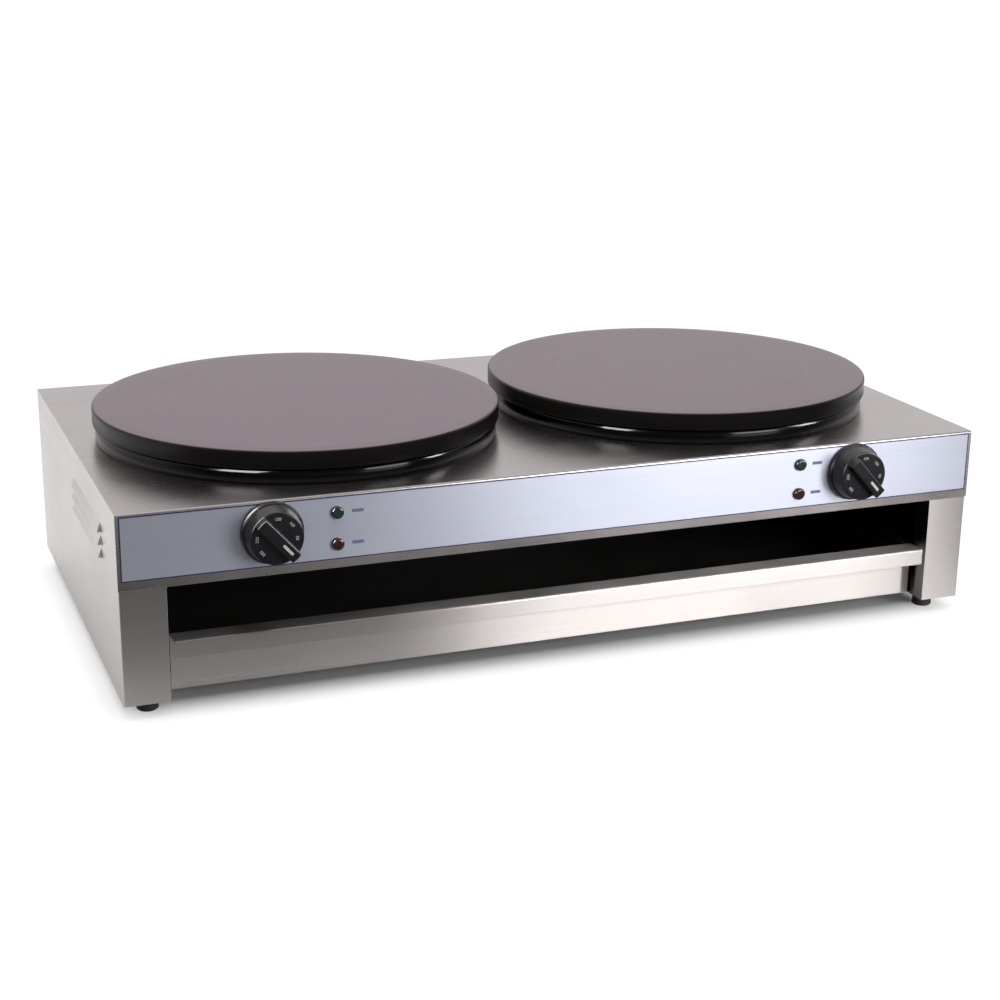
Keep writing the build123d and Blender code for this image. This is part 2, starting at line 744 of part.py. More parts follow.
def make_knob():
    """Round knob with a skirt and a raised grip bar, hollow behind, round a boss for the shaft."""
    axis = Plane((control_x, knob_back, control_z), x_dir=(1, 0, 0), z_dir=(0, -1, 0))
    half = make_face(Polyline(
        (0, 0), (knob_radius, 0), (knob_radius, knob_skirt - knob_round),
        (knob_radius - knob_round, knob_skirt),
        (knob_body_radius, knob_skirt), (knob_top_radius, knob_face), (0, knob_face), close=True,
    ))
    round_body = axis * revolve(Plane.XZ * half, Axis.Z)
    root = knob_face - knob_bar_root
    bar = Rot(0, 0, knob_bar_turn) * Pos(0, 0, (root + knob_height) / 2) * Box(
        2 * knob_top_radius, knob_bar_width, knob_height - root
    )
    bar = bar & Pos(0, 0, knob_height / 2) * Cylinder(knob_top_radius - knob_bar_step, knob_height)
    bar = fillet(bar.faces().sort_by(Axis.Z)[-1].edges(), knob_round)
    groove = extrude(SlotOverall(knob_mark_end - knob_mark_start, knob_mark_width), 2 * knob_mark_depth)
    mark = Pos((knob_mark_start + knob_mark_end) / 2, 0, knob_height - knob_mark_depth)
    bar -= Rot(0, 0, knob_bar_turn) * mark * groove
    hollow = Pos(0, 0, knob_face / 2 - knob_wall / 2) * Cylinder(
        knob_top_radius - knob_wall, knob_face - knob_wall
    )
    boss = Pos(0, 0, knob_face / 2) * Cylinder(knob_boss_radius, knob_face)
    knob = round_body + axis * bar
    top_edge = knob.edges().filter_by(GeomType.CIRCLE).filter_by(
        lambda e: abs(e.center().Y - knob_back + knob_face) < NEAR and e.radius > knob_top_radius - NEAR
    )
    knob = fillet(top_edge, knob_round)
    knob = knob - axis * hollow + axis * boss
    bore = rod_y(control_x, control_z, knob_back + 1, knob_back - shaft_grip - seam_gap,
                 shaft_radius + thread_play)
    flat = block(control_x - 2 * shaft_radius, control_x + 2 * shaft_radius,
                 knob_back + 2, knob_back - shaft_grip - 2,
                 control_z + shaft_radius - shaft_flat + thread_play, control_z + 2 * shaft_radius)
    return knob - (bore - flat)


def make_lamp_lens(z):
    """Domed pilot lamp lens in front of the film."""
    lens = rod_y(lamp_x, z, film_front, film_front - lamp_lens_height, lamp_lens_radius)
    return fillet(lens.faces().sort_by(Axis.Y)[0].edges(), lamp_dome)


def make_lamp_body(z):
    """Pilot lamp body behind the lens, with its nut and two tabs."""
    end = film_front + lamp_body_length
    body = rod_y(lamp_x, z, film_front, end, lamp_body_radius)
    nut = rod_y(lamp_x, z, fascia_back, fascia_back + lamp_nut_height, lamp_nut_radius)
    shape = body + nut
    for n in (-1, 1):
        x = lamp_x + n * lamp_tab_pitch / 2
        shape += block(x - tab_sheet / 2, x + tab_sheet / 2, end, end + tab_length,
                       z - lamp_tab_width / 2, z + lamp_tab_width / 2)
    return shape


def make_control_screws():
    """Two short screws that hold a thermostat to the fascia, behind the knob's skirt."""
    seat = front_y
    grip = cover_sheet + bracket_sheet + screw_tail
    screws = []
    for z in CONTROL_SCREWS:
        head = rod_y(control_x, z, seat, seat - flush_head, screw_radius + seam_gap)
        screws.append(head + rod_y(control_x, z, seat, seat + grip, screw_radius))
    return screws


# ---------------------------------------------------------------- terminal blocks, leads, glands

BLOCK_Y = rear_y - block_setback


def block_pole(n):
    """Middle of one pole of the right terminal block."""
    return gland_x + (n - (block_poles - 1) / 2) * block_pole_pitch


def make_terminal_block():
    """Moulded terminal block on the compartment floor, with a raised barrier between poles."""
    x0 = gland_x - block_length / 2
    y0 = BLOCK_Y - block_width / 2
    y1 = BLOCK_Y + block_width / 2
    shape = block(x0, x0 + block_length, y0, y1, floor_top, floor_top + block_base)
    for n in range(block_poles + 1):
        x = block_pole(n) - block_pole_pitch / 2
        shape += block(x - block_wall / 2, x + block_wall / 2, y0, y1, floor_top, floor_top + block_height)
    for n in range(block_poles):
        x = block_pole(n)
        shape += block(x - clamp_width / 2, x + clamp_width / 2, y0 + block_wall, y1 - block_wall,
                       floor_top, floor_top + block_base + clamp_rise)
    return shape


def make_wiring():
    """Leads of one side: block to thermostat, block to element, thermostat to element and earth."""
    z_block = floor_top + block_base / 2
    front = BLOCK_Y - block_width / 2
    tab_rear = fascia_back + bracket_sheet + thermostat_depth + tab_length
    ends = leg_points()
    leg_low = element_z - element_bend - element_leg
    leads = []
    leads.append(tube([
        (block_pole(2), front, z_block),
        (block_pole(2), front - 2 * lead_step, z_block),
        (control_x + tab_pitch, tab_rear + lead_drop, z_block),
        (control_x + tab_pitch, tab_rear + lead_straight, TAB_Z),
        (control_x + tab_pitch, tab_rear, TAB_Z),
    ], lead_radius, lead_bend))
    outer_x, outer_y = ends[0]
    inner_x, inner_y = ends[1]
    leads.append(tube([
        (block_pole(0), front, z_block),
        (block_pole(0), front - lead_step, z_block),
        (outer_x, outer_y, z_block),
        (outer_x, outer_y, leg_low),
    ], lead_radius, lead_bend))
    leads.append(tube([
        (inner_x, inner_y, leg_low),
        (inner_x, inner_y, z_block),
        (control_x - tab_pitch, tab_rear + lead_drop, z_block),
        (control_x - tab_pitch, tab_rear + lead_straight, TAB_Z),
        (control_x - tab_pitch, tab_rear, TAB_Z),
    ], lead_radius, lead_bend))
    return leads


def make_cable_gland():
    """Cable gland with collar, dome and an open bore."""
    z = deck_top - gland_drop
    collar = hexagon_y(gland_x, z, rear_y, rear_y + gland_collar, gland_flats)
    dome = rod_y(gland_x, z, rear_y + gland_collar, rear_y + gland_out, gland_dome_radius)
    dome = fillet(dome.faces().sort_by(Axis.Y)[-1].edges(), gland_dome_round)
    thread = rod_y(gland_x, z, side_rear - gland_inside, rear_y, gland_thread_radius)
    bore = rod_y(gland_x, z, side_rear - gland_inside - 1, rear_y + gland_out + 1, gland_bore_radius)
    return collar + dome + thread - bore


def make_gland_nut():
    """Locknut on the gland's thread, inside the rear panel."""
    z = deck_top - gland_drop
    nut = hexagon_y(gland_x, z, side_rear - gland_nut_height, side_rear, gland_flats)
    return nut - rod_y(gland_x, z, side_rear - gland_nut_height - 1, side_rear + 1,
                       gland_thread_radius + thread_play)


# ---------------------------------------------------------------- drawer and runners

DRAWER_SCREW_X = in_a_row(tray_half - drawer_screw_end, drawer_screw_count)
DRAWER_SCREW_Z = (tray_bottom + tray_top) / 2


def make_drawer_front():
    """Drawer face whose top edge is folded forward and down into a full-width pull lip."""
    half = drawer_front_half
    face = block(-half, half, drawer_face, drawer_back, drawer_face_bottom, drawer_top)
    shelf = block(-half, half, front_y, drawer_back, drawer_top - drawer_sheet, drawer_top)
    lip = block(-half, half, front_y, front_y + drawer_sheet, drawer_top - drawer_lip, drawer_top)
    front = face + shelf + lip
    for y, z, radius in (
        (front_y, drawer_top, drawer_fold),
        (drawer_back, drawer_top, drawer_fold),
        (front_y + drawer_sheet, drawer_top - drawer_sheet, drawer_fold - drawer_sheet),
        (drawer_face, drawer_top - drawer_sheet, drawer_fold - drawer_sheet),
    ):
        front = fillet(edges_along_x(front, y, z), radius)
    for x in DRAWER_SCREW_X:
        front -= rod_y(x, DRAWER_SCREW_Z, drawer_face + drawer_screw_web, drawer_back + 1,
                       screw_radius + screw_play)
    return front


def make_drawer_tray():
    """Open tray welded from a floor, two end walls and two side walls, whose tops are folded out into
    sliding flanges with a stop tab on each.
    """
    floor_up = tray_bottom + tray_sheet
    end_half = tray_half - tray_sheet
    floor = block(-tray_half, tray_half, drawer_back, tray_rear, tray_bottom, floor_up)
    front = block(-end_half, end_half, drawer_back, drawer_back + tray_sheet, floor_up, tray_top)
    for x in DRAWER_SCREW_X:
        front -= rod_y(x, DRAWER_SCREW_Z, drawer_back - 1, drawer_back + tray_sheet + 1,
                       screw_radius + screw_play)
    rear = block(-end_half, end_half, tray_rear - tray_sheet, tray_rear, floor_up, tray_top)
    wall = block(end_half, tray_half, drawer_back, tray_rear, floor_up, tray_top)
    flange = block(tray_half, tray_half + tray_rail, runner_front, tray_rear, tray_top - tray_sheet, tray_top)
    stop_y = stop_face + rail_play + drawer_travel
    stop = block(tray_half + tray_rail / 2, tray_half + tray_rail, stop_y, stop_y + stop_length,
                 tray_top, tray_top + stop_height)
    side_wall = wall + flange + stop
    return [floor, front, rear, *(handed(side_wall, side) for _, side in SIDES)]


def make_runner():
    """Right drawer runner: a channel open towards the drawer, with a stop across its front end."""
    outer = channel_back + runner_sheet
    ledge = channel_back - runner_ledge
    web = block(channel_back, outer, runner_front, runner_rear,
                channel_floor - runner_sheet, channel_top + runner_sheet)
    low = block(ledge, outer, runner_front, runner_rear, channel_floor - runner_sheet, channel_floor)
    high = block(ledge, outer, runner_front, runner_rear, channel_top, channel_top + runner_sheet)
    stop = block(ledge, outer, runner_front, stop_face, tray_top + rail_play, channel_top)
    return web + low + high + stop


def make_runner_brackets():
    """Two Z-shaped brackets that carry a runner from the side wall."""
    outer = channel_back + runner_sheet
    mid = (channel_floor + channel_top) / 2
    lip = runner_inside + 2 * runner_sheet
    shapes = []
    for y0 in (front_y + bracket_front, rear_y - bracket_rear - bracket_length):
        y1 = y0 + bracket_length
        foot = block(outer, outer + runner_sheet, y0, y1, mid - lip / 2, mid + lip / 2)
        web = block(outer, wall_inside, y0, y1, mid + lip / 2 - runner_sheet, mid + lip / 2)
        wall = block(wall_inside - runner_sheet, wall_inside, y0, y1, mid - lip / 2, mid + lip / 2)
        shapes.append(foot + web + wall)
    return shapes


def make_drawer_screws():
    """Screws from inside the tray into the drawer's face."""
    seat = drawer_back + tray_sheet
    grip = tray_sheet + drawer_sheet - drawer_screw_web - screw_play
    return [screw_y(x, DRAWER_SCREW_Z, seat, 1, grip) for x in DRAWER_SCREW_X]


# ---------------------------------------------------------------- feet and fixings

def make_foot(y):
    """Round foot under the right side panel, with a recess for its screw."""
    x = half_width - foot_x_inset
    outline = make_face(Polyline(
        (foot_screw_radius + screw_play, foot_height), (foot_top_radius, foot_height),
        (foot_radius, foot_edge), (foot_radius - foot_edge, 0), (foot_recess_radius, 0),
        (foot_recess_radius, foot_recess), (foot_screw_radius + screw_play, foot_recess), close=True,
    ))
    return Pos(x, y, 0) * revolve(Plane.XZ * outline, Axis.Z)


def make_foot_screw(y):
    """Foot screw and its nut on the side panel's bottom flange."""
    x = half_width - foot_x_inset
    seat = foot_recess
    flange_top = body_bottom + side_sheet
    head = rod_z(x, y, seat - foot_screw_head, seat, foot_screw_head_radius)
    tip = flange_top + foot_nut_height + foot_screw_tail
    screw = head + rod_z(x, y, seat, tip, foot_screw_radius)
    nut = hexagon_z(x, y, flange_top, flange_top + foot_nut_height, foot_nut_flats)
    return screw, nut - rod_z(x, y, flange_top - 1, flange_top + 2 * foot_nut_height,
                              foot_screw_radius + thread_play)


def make_rear_screws():
    """Screws through the rear panel into the side panels' rear flanges."""
    grip = rear_sheet + side_sheet + screw_tail
    return [
        screw_y(side * REAR_SCREW_X, z, rear_y, 1, grip) for _, side in SIDES for z in REAR_SCREW_Z
    ]


def make_floor_screws():
    """Screws that hold the compartment floor to the fascia's inward edge and the side walls."""
    screws = [screw_z(x, FLOOR_SCREW_Y, fascia_bottom, cover_sheet + floor_sheet + screw_tail)
              for x in FLOOR_SCREW_X]
    seat = wall_inside - floor_sheet
    z = FLOOR_SIDE_SCREW_Z
    for _, side in SIDES:
        for y in FLOOR_SIDE_SCREW_Y:
            head = rod_x(y, z, side * (seat - screw_head), side * seat, screw_head_radius)
            screws.append(head + rod_x(y, z, side * seat, side * wall_inside, screw_radius))
    return screws


def make_cover_nuts():
    """Nuts on the top cover's weld studs, under the side panels' top flanges."""
    seat = deck_under - side_sheet
    nuts = []
    for _, side in SIDES:
        for y in COVER_STUD_Y:
            x = side * (half_width - cover_stud_inset)
            nuts.append(hexagon_z(x, y, seat - cover_nut_height, seat, cover_nut_flats)
                        - rod_z(x, y, seat - 2 * cover_nut_height, seat + 1, screw_radius + thread_play))
    return nuts


# ---------------------------------------------------------------- write every sub-part

os.makedirs("parts", exist_ok=True)

write(make_top_cover(), "top_cover")
write(make_control_film(), "control_film")
write(make_rear_panel(), "rear_panel")
write(make_compartment_floor(), "compartment_floor")
write(make_drawer_front(), "drawer_front")
write(Compound(make_drawer_tray()), "drawer_tray")
write(Compound(make_drawer_screws()), "drawer_screws")
write(Compound(make_rear_screws()), "rear_panel_screws")
write(Compound(make_floor_screws()), "floor_screws")
write(Compound(make_cover_nuts()), "cover_nuts")

side_panel = make_side_panel()
plate = make_plate()
plate_ring = make_plate_ring()
pan = make_heater_pan()
insulation = make_insulation()
element = make_element()
clamp = make_clamp()
studs = Compound(make_studs())
bulb = make_bulb()
thermostat = make_thermostat()
shaft = make_shaft()
knob = make_knob()
terminal_block = make_terminal_block()
wiring = Compound(make_wiring())
gland = make_cable_gland()
runner = make_runner()
brackets = Compound(make_runner_brackets())

for name, side in SIDES:
    write(handed(side_panel, side), f"side_panel_{name}")
    write(handed(plate, side), f"plate_{name}")
    write(handed(plate_ring, side), f"plate_ring_{name}")
    write(handed(pan, side), f"heater_pan_{name}")
    write(handed(insulation, side), f"insulation_{name}")
    write(handed(element, side), f"heating_element_{name}")
    write(handed(clamp, side), f"element_clamp_{name}")
    write(handed(studs, side), f"plate_studs_{name}")
    write(handed(bulb, side), f"thermostat_bulb_{name}")
    write(handed(thermostat, side), f"thermostat_{name}")
    write(Pos((side - 1) * control_x, 0, 0) * shaft, f"thermostat_shaft_{name}")
    write(Pos((side - 1) * control_x, 0, 0) * knob, f"knob_{name}")
    write(handed(terminal_block, side), f"terminal_block_{name}")
    write(handed(wiring, side), f"wiring_{name}")
    write(handed(gland, side), f"cable_gland_{name}")
    write(handed(runner, side), f"drawer_runner_{name}")
    write(handed(brackets, side), f"runner_brackets_{name}")
    for colour, level in LAMP_LEVELS:
        write(handed(make_lamp_lens(level), side), f"pilot_lens_{colour}_{name}")
        write(handed(make_lamp_body(level), side), f"pilot_body_{colour}_{name}")
    for end, y in FOOT_Y:
        write(handed(make_foot(y), side), f"foot_{end}_{name}")


def both_sides(shapes):
    """A group of pieces together with its mirror image."""
    return Compound([s for shape in shapes for s in (shape, mirror(shape, Plane.YZ))])


write(both_sides(make_stud_nuts()), "stud_nuts")
write(both_sides(make_control_screws()), "thermostat_screws")
write(both_sides([make_gland_nut()]), "gland_nuts")
write(both_sides([piece for _, y in FOOT_Y for piece in make_foot_screw(y)]), "foot_screws")
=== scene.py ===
"""Looks of a twin-plate electric crepe maker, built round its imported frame.

Lengths are in metres. The front of the object faces -Y and its right side is +X.
"""

import functools
import json
import logging
import math
import operator
from dataclasses import dataclass
from enum import Enum
from typing import Any, Callable

import bmesh
import bpy
from mathutils import Matrix, Vector


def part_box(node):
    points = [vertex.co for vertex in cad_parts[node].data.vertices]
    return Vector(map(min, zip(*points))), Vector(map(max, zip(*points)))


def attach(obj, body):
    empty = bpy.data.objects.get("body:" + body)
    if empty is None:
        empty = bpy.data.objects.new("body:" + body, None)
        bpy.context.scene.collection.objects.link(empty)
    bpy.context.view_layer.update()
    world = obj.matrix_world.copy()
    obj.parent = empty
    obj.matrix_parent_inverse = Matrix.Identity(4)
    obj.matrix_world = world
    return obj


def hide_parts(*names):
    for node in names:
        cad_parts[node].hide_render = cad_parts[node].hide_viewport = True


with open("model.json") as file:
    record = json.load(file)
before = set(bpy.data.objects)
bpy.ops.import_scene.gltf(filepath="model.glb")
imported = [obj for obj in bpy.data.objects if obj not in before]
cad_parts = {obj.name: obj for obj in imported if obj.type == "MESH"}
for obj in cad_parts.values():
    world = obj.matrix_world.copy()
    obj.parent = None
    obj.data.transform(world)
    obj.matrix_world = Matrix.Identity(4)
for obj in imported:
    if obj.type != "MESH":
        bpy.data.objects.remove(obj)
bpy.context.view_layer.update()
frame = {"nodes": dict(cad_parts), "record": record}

MM = 0.001
QUARTER = math.pi / 2
SMOOTH_BELOW = math.radians(35.0)
VECTORS = ("Place", "Normal")
# How far a face's normal points up or down where the face slopes, and where it is level.
STEEP = 0.5
LEVEL = 0.9999
LOG = logging.getLogger("crepe_maker")

Triple = tuple[float, float, float]
Colour = Triple
Range = tuple[float, float]
Piece = bpy.types.Object
Socket = bpy.types.NodeSocket
Sockets = dict[str, Socket]
Feeds = dict[str, Any]


class Side(Enum):
    """Which half of the object a piece is on."""

    LEFT = -1
    RIGHT = 1

    @property
    def word(self) -> str:
        """The side's word in the names of pieces."""
        return self.name.lower()


class Reach(Enum):
    """Whether a light falls on the named pieces alone, or on all but them."""

    ONLY = "INCLUDE"
    ALL_BUT = "EXCLUDE"


class Grain(Enum):
    """Which way a sheet was brushed: noise scales, tangent axis, part of a turn of its sheen."""

    ALONG_WIDTH = ((5.0, 620.0, 620.0), "X", 0.0)
    LEVEL = ((5.0, 5.0, 620.0), "Z", 0.25)


class Pick(Enum):
    """What is picked of a mesh, by the name of its selection mode."""

    FACES = "FACE"
    EDGES = "EDGE"


# ---------------- node trees


def opaque(colour: Any) -> Any:
    """Gives a plain colour its alpha, and leaves a socket as it is."""
    return colour if isinstance(colour, Socket) else (*colour, 1.0)


class Graph:
    """A node tree that is filled one node at a time."""

    def __init__(self, tree: bpy.types.NodeTree) -> None:
        """Keeps the tree of a material, a world or a group."""
        self.tree = tree

    def add(self, kind: str, inputs: dict[Any, Any] | None = None,
            **settings: Any) -> bpy.types.Node:
        """Adds a node.

        Args:
            kind: the node's type, without the word ShaderNode.
            inputs: what goes into its sockets, a socket to link or a value to set.
            settings: the node's own options.

        Returns:
            The new node.
        """
        node = self.tree.nodes.new("ShaderNode" + kind)
        for name, value in settings.items():
            setattr(node, name, value)
        self.feed(node, inputs or {})
        return node

    def feed(self, node: bpy.types.Node, inputs: dict[Any, Any]) -> None:
        """Links or sets sockets of a node.

        Args:
            node: the node that is fed.
            inputs: a socket or a value for each input, by name or place.
        """
        for name, value in inputs.items():
            if isinstance(value, Socket):
                self.tree.links.new(value, node.inputs[name])
            else:
                node.inputs[name].default_value = value

    def math(self, operation: str, first: Any, second: Any = 0.0) -> Socket:
        """Works out one sum of values or sockets."""
        return self.add("Math", {0: first, 1: second}, operation=operation).outputs[0]

    def plus(self, first: Any, second: Any) -> Socket:
        """Adds two values or sockets."""
        return self.math("ADD", first, second)

    def times(self, first: Any, second: Any) -> Socket:
        """Multiplies two values or sockets."""
        return self.math("MULTIPLY", first, second)

    def distance(self, across: Socket, along: Socket) -> Socket:
        """Finds how long a step is from its two parts."""
        squares = [self.math("POWER", part, 2.0) for part in (across, along)]
        return self.math("SQRT", self.plus(*squares))

    def dot(self, first: Any, second: Any) -> Socket:
        """Finds how far one vector goes along another."""
        node = self.add("VectorMath", {0: first, 1: second}, operation="DOT_PRODUCT")
        return node.outputs["Value"]

    def part(self, vector: Socket, axis: str) -> Socket:
        """Takes one axis out of a vector."""
        return self.add("SeparateXYZ", {0: vector}).outputs[axis]

    def normal(self) -> Socket:
        """Finds which way the surface looks."""
        return self.add("NewGeometry").outputs["Normal"]

    def place(self, scale: Triple = (1.0, 1.0, 1.0)) -> Socket:
        """Finds the object's own coordinates, stretched for a pattern."""
        where = self.add("TexCoord").outputs["Object"]
        return self.add("Mapping", {"Vector": where, "Scale": scale}).outputs[0]

    def noise(self, place: Socket, scale: Any, detail: float, **more: float) -> Socket:
        """Adds cloudy noise of a scale and a detail."""
        inputs = {"Vector": place, "Scale": scale, "Detail": detail, **more}
        return self.add("TexNoise", inputs).outputs[0]

    def spread(self, value: Socket, low: float, high: float, start: float = 0.0,
               end: float = 1.0) -> Socket:
        """Maps the range from start to end onto low to high, held at both ends."""
        return self.add("MapRange", {"Value": value, "From Min": start, "From Max": end,
                                     "To Min": low, "To Max": high}).outputs[0]

    def ramp(self, value: Socket, start: float, end: float) -> Socket:
        """Rises from 0 at the start to 1 at the end."""
        return self.spread(value, 0.0, 1.0, start, end)

    def mix(self, share: Any, first: Any, second: Any) -> Socket:
        """Mixes two colours; the share is how much of the second one shows."""
        inputs = {0: share, 6: opaque(first), 7: opaque(second)}
        return self.add("Mix", inputs, data_type="RGBA").outputs[2]


class Effect:
    """A shader node group that several finishes share, built once and used by name."""

    name: str = ""
    takes: tuple[str, ...] = ()
    gives: tuple[str, ...] = ()

    def tree(self) -> bpy.types.NodeTree:
        """Finds the group, or builds it the first time.

        Returns:
            The group's node tree.
        """
        found = bpy.data.node_groups.get(self.name)
        if found:
            return found
        group = bpy.data.node_groups.new(self.name, "ShaderNodeTree")
        for way, sockets in (("INPUT", self.takes), ("OUTPUT", self.gives)):
            for label in sockets:
                kind = "NodeSocketVector" if label in VECTORS else "NodeSocketFloat"
                group.interface.new_socket(label, in_out=way, socket_type=kind)
        graph = Graph(group)
        entry = group.nodes.new("NodeGroupInput")
        results = self.fill(graph, dict(entry.outputs.items()))
        graph.feed(group.nodes.new("NodeGroupOutput"), results)
        return group

    def fill(self, graph: Graph, given: Sockets) -> Sockets:
        """Builds the group's inside and returns the socket behind each output."""
        raise NotImplementedError

    def use(self, graph: Graph, **inputs: Any) -> Sockets:
        """Places the group in a material and returns its outputs."""
        return dict(graph.add("Group", inputs, node_tree=self.tree()).outputs.items())


class BrushedGrain(Effect):
    """Fine lines of a brushed sheet, with broad soft bands between them."""

    name = "brushed_grain"
    takes = ("Place",)
    gives = ("Shade", "Height")
    lines: Range = (0.3, 0.7)
    bands: Range = (0.25, 0.75)
    band_scale = 0.11
    share_of_lines = 0.62
    share_of_bands = 0.38

    def fill(self, graph: Graph, given: Sockets) -> Sockets:
        """Adds fine and broad noise along the grain.

        Args:
            graph: the group's graph.
            given: the group's inputs.

        Returns:
            The socket behind each output.
        """
        place = given["Place"]
        fine = graph.noise(place, scale=1.0, detail=6.0, Roughness=0.72)
        wide = graph.noise(place, scale=self.band_scale, detail=2.0)
        cuts = graph.noise(place, scale=1.0, detail=1.0, Roughness=0.4)
        lines = graph.ramp(fine, *self.lines)
        bands = graph.ramp(wide, *self.bands)
        shade = graph.plus(graph.times(lines, self.share_of_lines),
                           graph.times(bands, self.share_of_bands))
        return {"Shade": shade, "Height": cuts}


class HandlingMarks(Effect):
    """Soft cloudy patches where a surface was touched or wiped."""

    name = "handling_marks"
    takes = ("Place", "Size")
    gives = ("Mask",)
    clouds: Range = (0.42, 0.66)
    smears: Range = (0.35, 0.62)
    smear_scale = 6.3
    faintest = 0.45

    def fill(self, graph: Graph, given: Sockets) -> Sockets:
        """Breaks large clouds up with small ones.

        Args:
            graph: the group's graph.
            given: the group's inputs.

        Returns:
            The socket behind each output.
        """
        place, size = given["Place"], given["Size"]
        cloud = graph.noise(place, size, detail=3.0, Distortion=0.6)
        small = graph.noise(place, graph.times(size, self.smear_scale), detail=4.0)
        return {"Mask": graph.times(graph.ramp(cloud, *self.clouds),
                                    graph.spread(small, self.faintest, 1.0, *self.smears))}


class EasedEdges(Effect):
    """Rounded normals and a mask along edges, where a finish catches light or wears."""

    name = "eased_edges"
    takes = ("Radius",)
    gives = ("Mask", "Normal")
    samples = 4
    turned: Range = (0.02, 0.25)

    def fill(self, graph: Graph, given: Sockets) -> Sockets:
        """Compares the rounded normal with the plain one.

        Args:
            graph: the group's graph.
            given: the group's inputs.

        Returns:
            The socket behind each output.
        """
        rounded = graph.add("Bevel", {"Radius": given["Radius"]}, samples=self.samples).outputs[0]
        turned = graph.math("SUBTRACT", 1.0, graph.dot(rounded, graph.normal()))
        return {"Mask": graph.ramp(turned, *self.turned), "Normal": rounded}


class CastGrain(Effect):
    """Small hollows and grains of a cast or moulded surface."""

    name = "cast_grain"
    takes = ("Place", "Pitch")
    gives = ("Tone", "Height")
    tones: Range = (0.3, 0.7)
    noise_scale = 0.45
    share_of_cells = 0.5

    def fill(self, graph: Graph, given: Sockets) -> Sockets:
        """Adds rounded cells under a finer noise.

        Args:
            graph: the group's graph.
            given: the group's inputs.

        Returns:
            The socket behind each output.
        """
        place, pitch = given["Place"], given["Pitch"]
        cells = graph.add("TexVoronoi", {"Vector": place, "Scale": pitch, "Randomness": 1.0})
        hollows = graph.times(cells.outputs["Distance"], self.share_of_cells)
        noise = graph.noise(place, graph.times(pitch, self.noise_scale), detail=5.0, Roughness=0.7)
        return {"Tone": graph.ramp(noise, *self.tones), "Height": graph.plus(hollows, noise)}


class TurnedRings(Effect):
    """Rings that turning leaves round the middle of each plate."""

    name = "turned_rings"
    takes = ("Place", "Across", "Along")
    gives = ("Tone", "Height")
    tones: Range = (0.35, 0.65)
    band_scale = 110.0
    cut_scale = 1100.0

    def fill(self, graph: Graph, given: Sockets) -> Sockets:
        """Adds noise that changes with the distance from the nearer plate's middle.

        Args:
            graph: the group's graph.
            given: the group's inputs.

        Returns:
            The socket behind each output.
        """
        outward = graph.math("ABSOLUTE", graph.part(given["Place"], "X"))
        across = graph.math("SUBTRACT", outward, given["Across"])
        along = graph.math("SUBTRACT", graph.part(given["Place"], "Y"), given["Along"])
        radius = graph.distance(across, along)
        bands, cuts = (graph.add("TexNoise", {"W": radius, "Scale": scale, "Detail": detail},
                                 noise_dimensions="1D").outputs[0]
                       for scale, detail in ((self.band_scale, 3.0), (self.cut_scale, 1.0)))
        return {"Tone": graph.ramp(bands, *self.tones), "Height": cuts}


class SettledDust(Effect):
    """A thin film of dust and grease on faces that look up."""

    name = "settled_dust"
    takes = ("Place", "Amount")
    gives = ("Mask",)
    level: Range = (0.4, 0.95)
    patches: Range = (0.35, 0.7)
    patch_scale = 9.0
    faintest = 0.35

    def fill(self, graph: Graph, given: Sockets) -> Sockets:
        """Limits cloudy noise to level faces.

        Args:
            graph: the group's graph.
            given: the group's inputs.

        Returns:
            The socket behind each output.
        """
        level = graph.ramp(graph.part(graph.normal(), "Z"), *self.level)
        cloud = graph.noise(given["Place"], self.patch_scale, detail=6.0, Roughness=0.65)
        patchy = graph.spread(cloud, self.faintest, 1.0, *self.patches)
        return {"Mask": graph.times(graph.times(level, patchy), given["Amount"])}


# ---------------- finishes


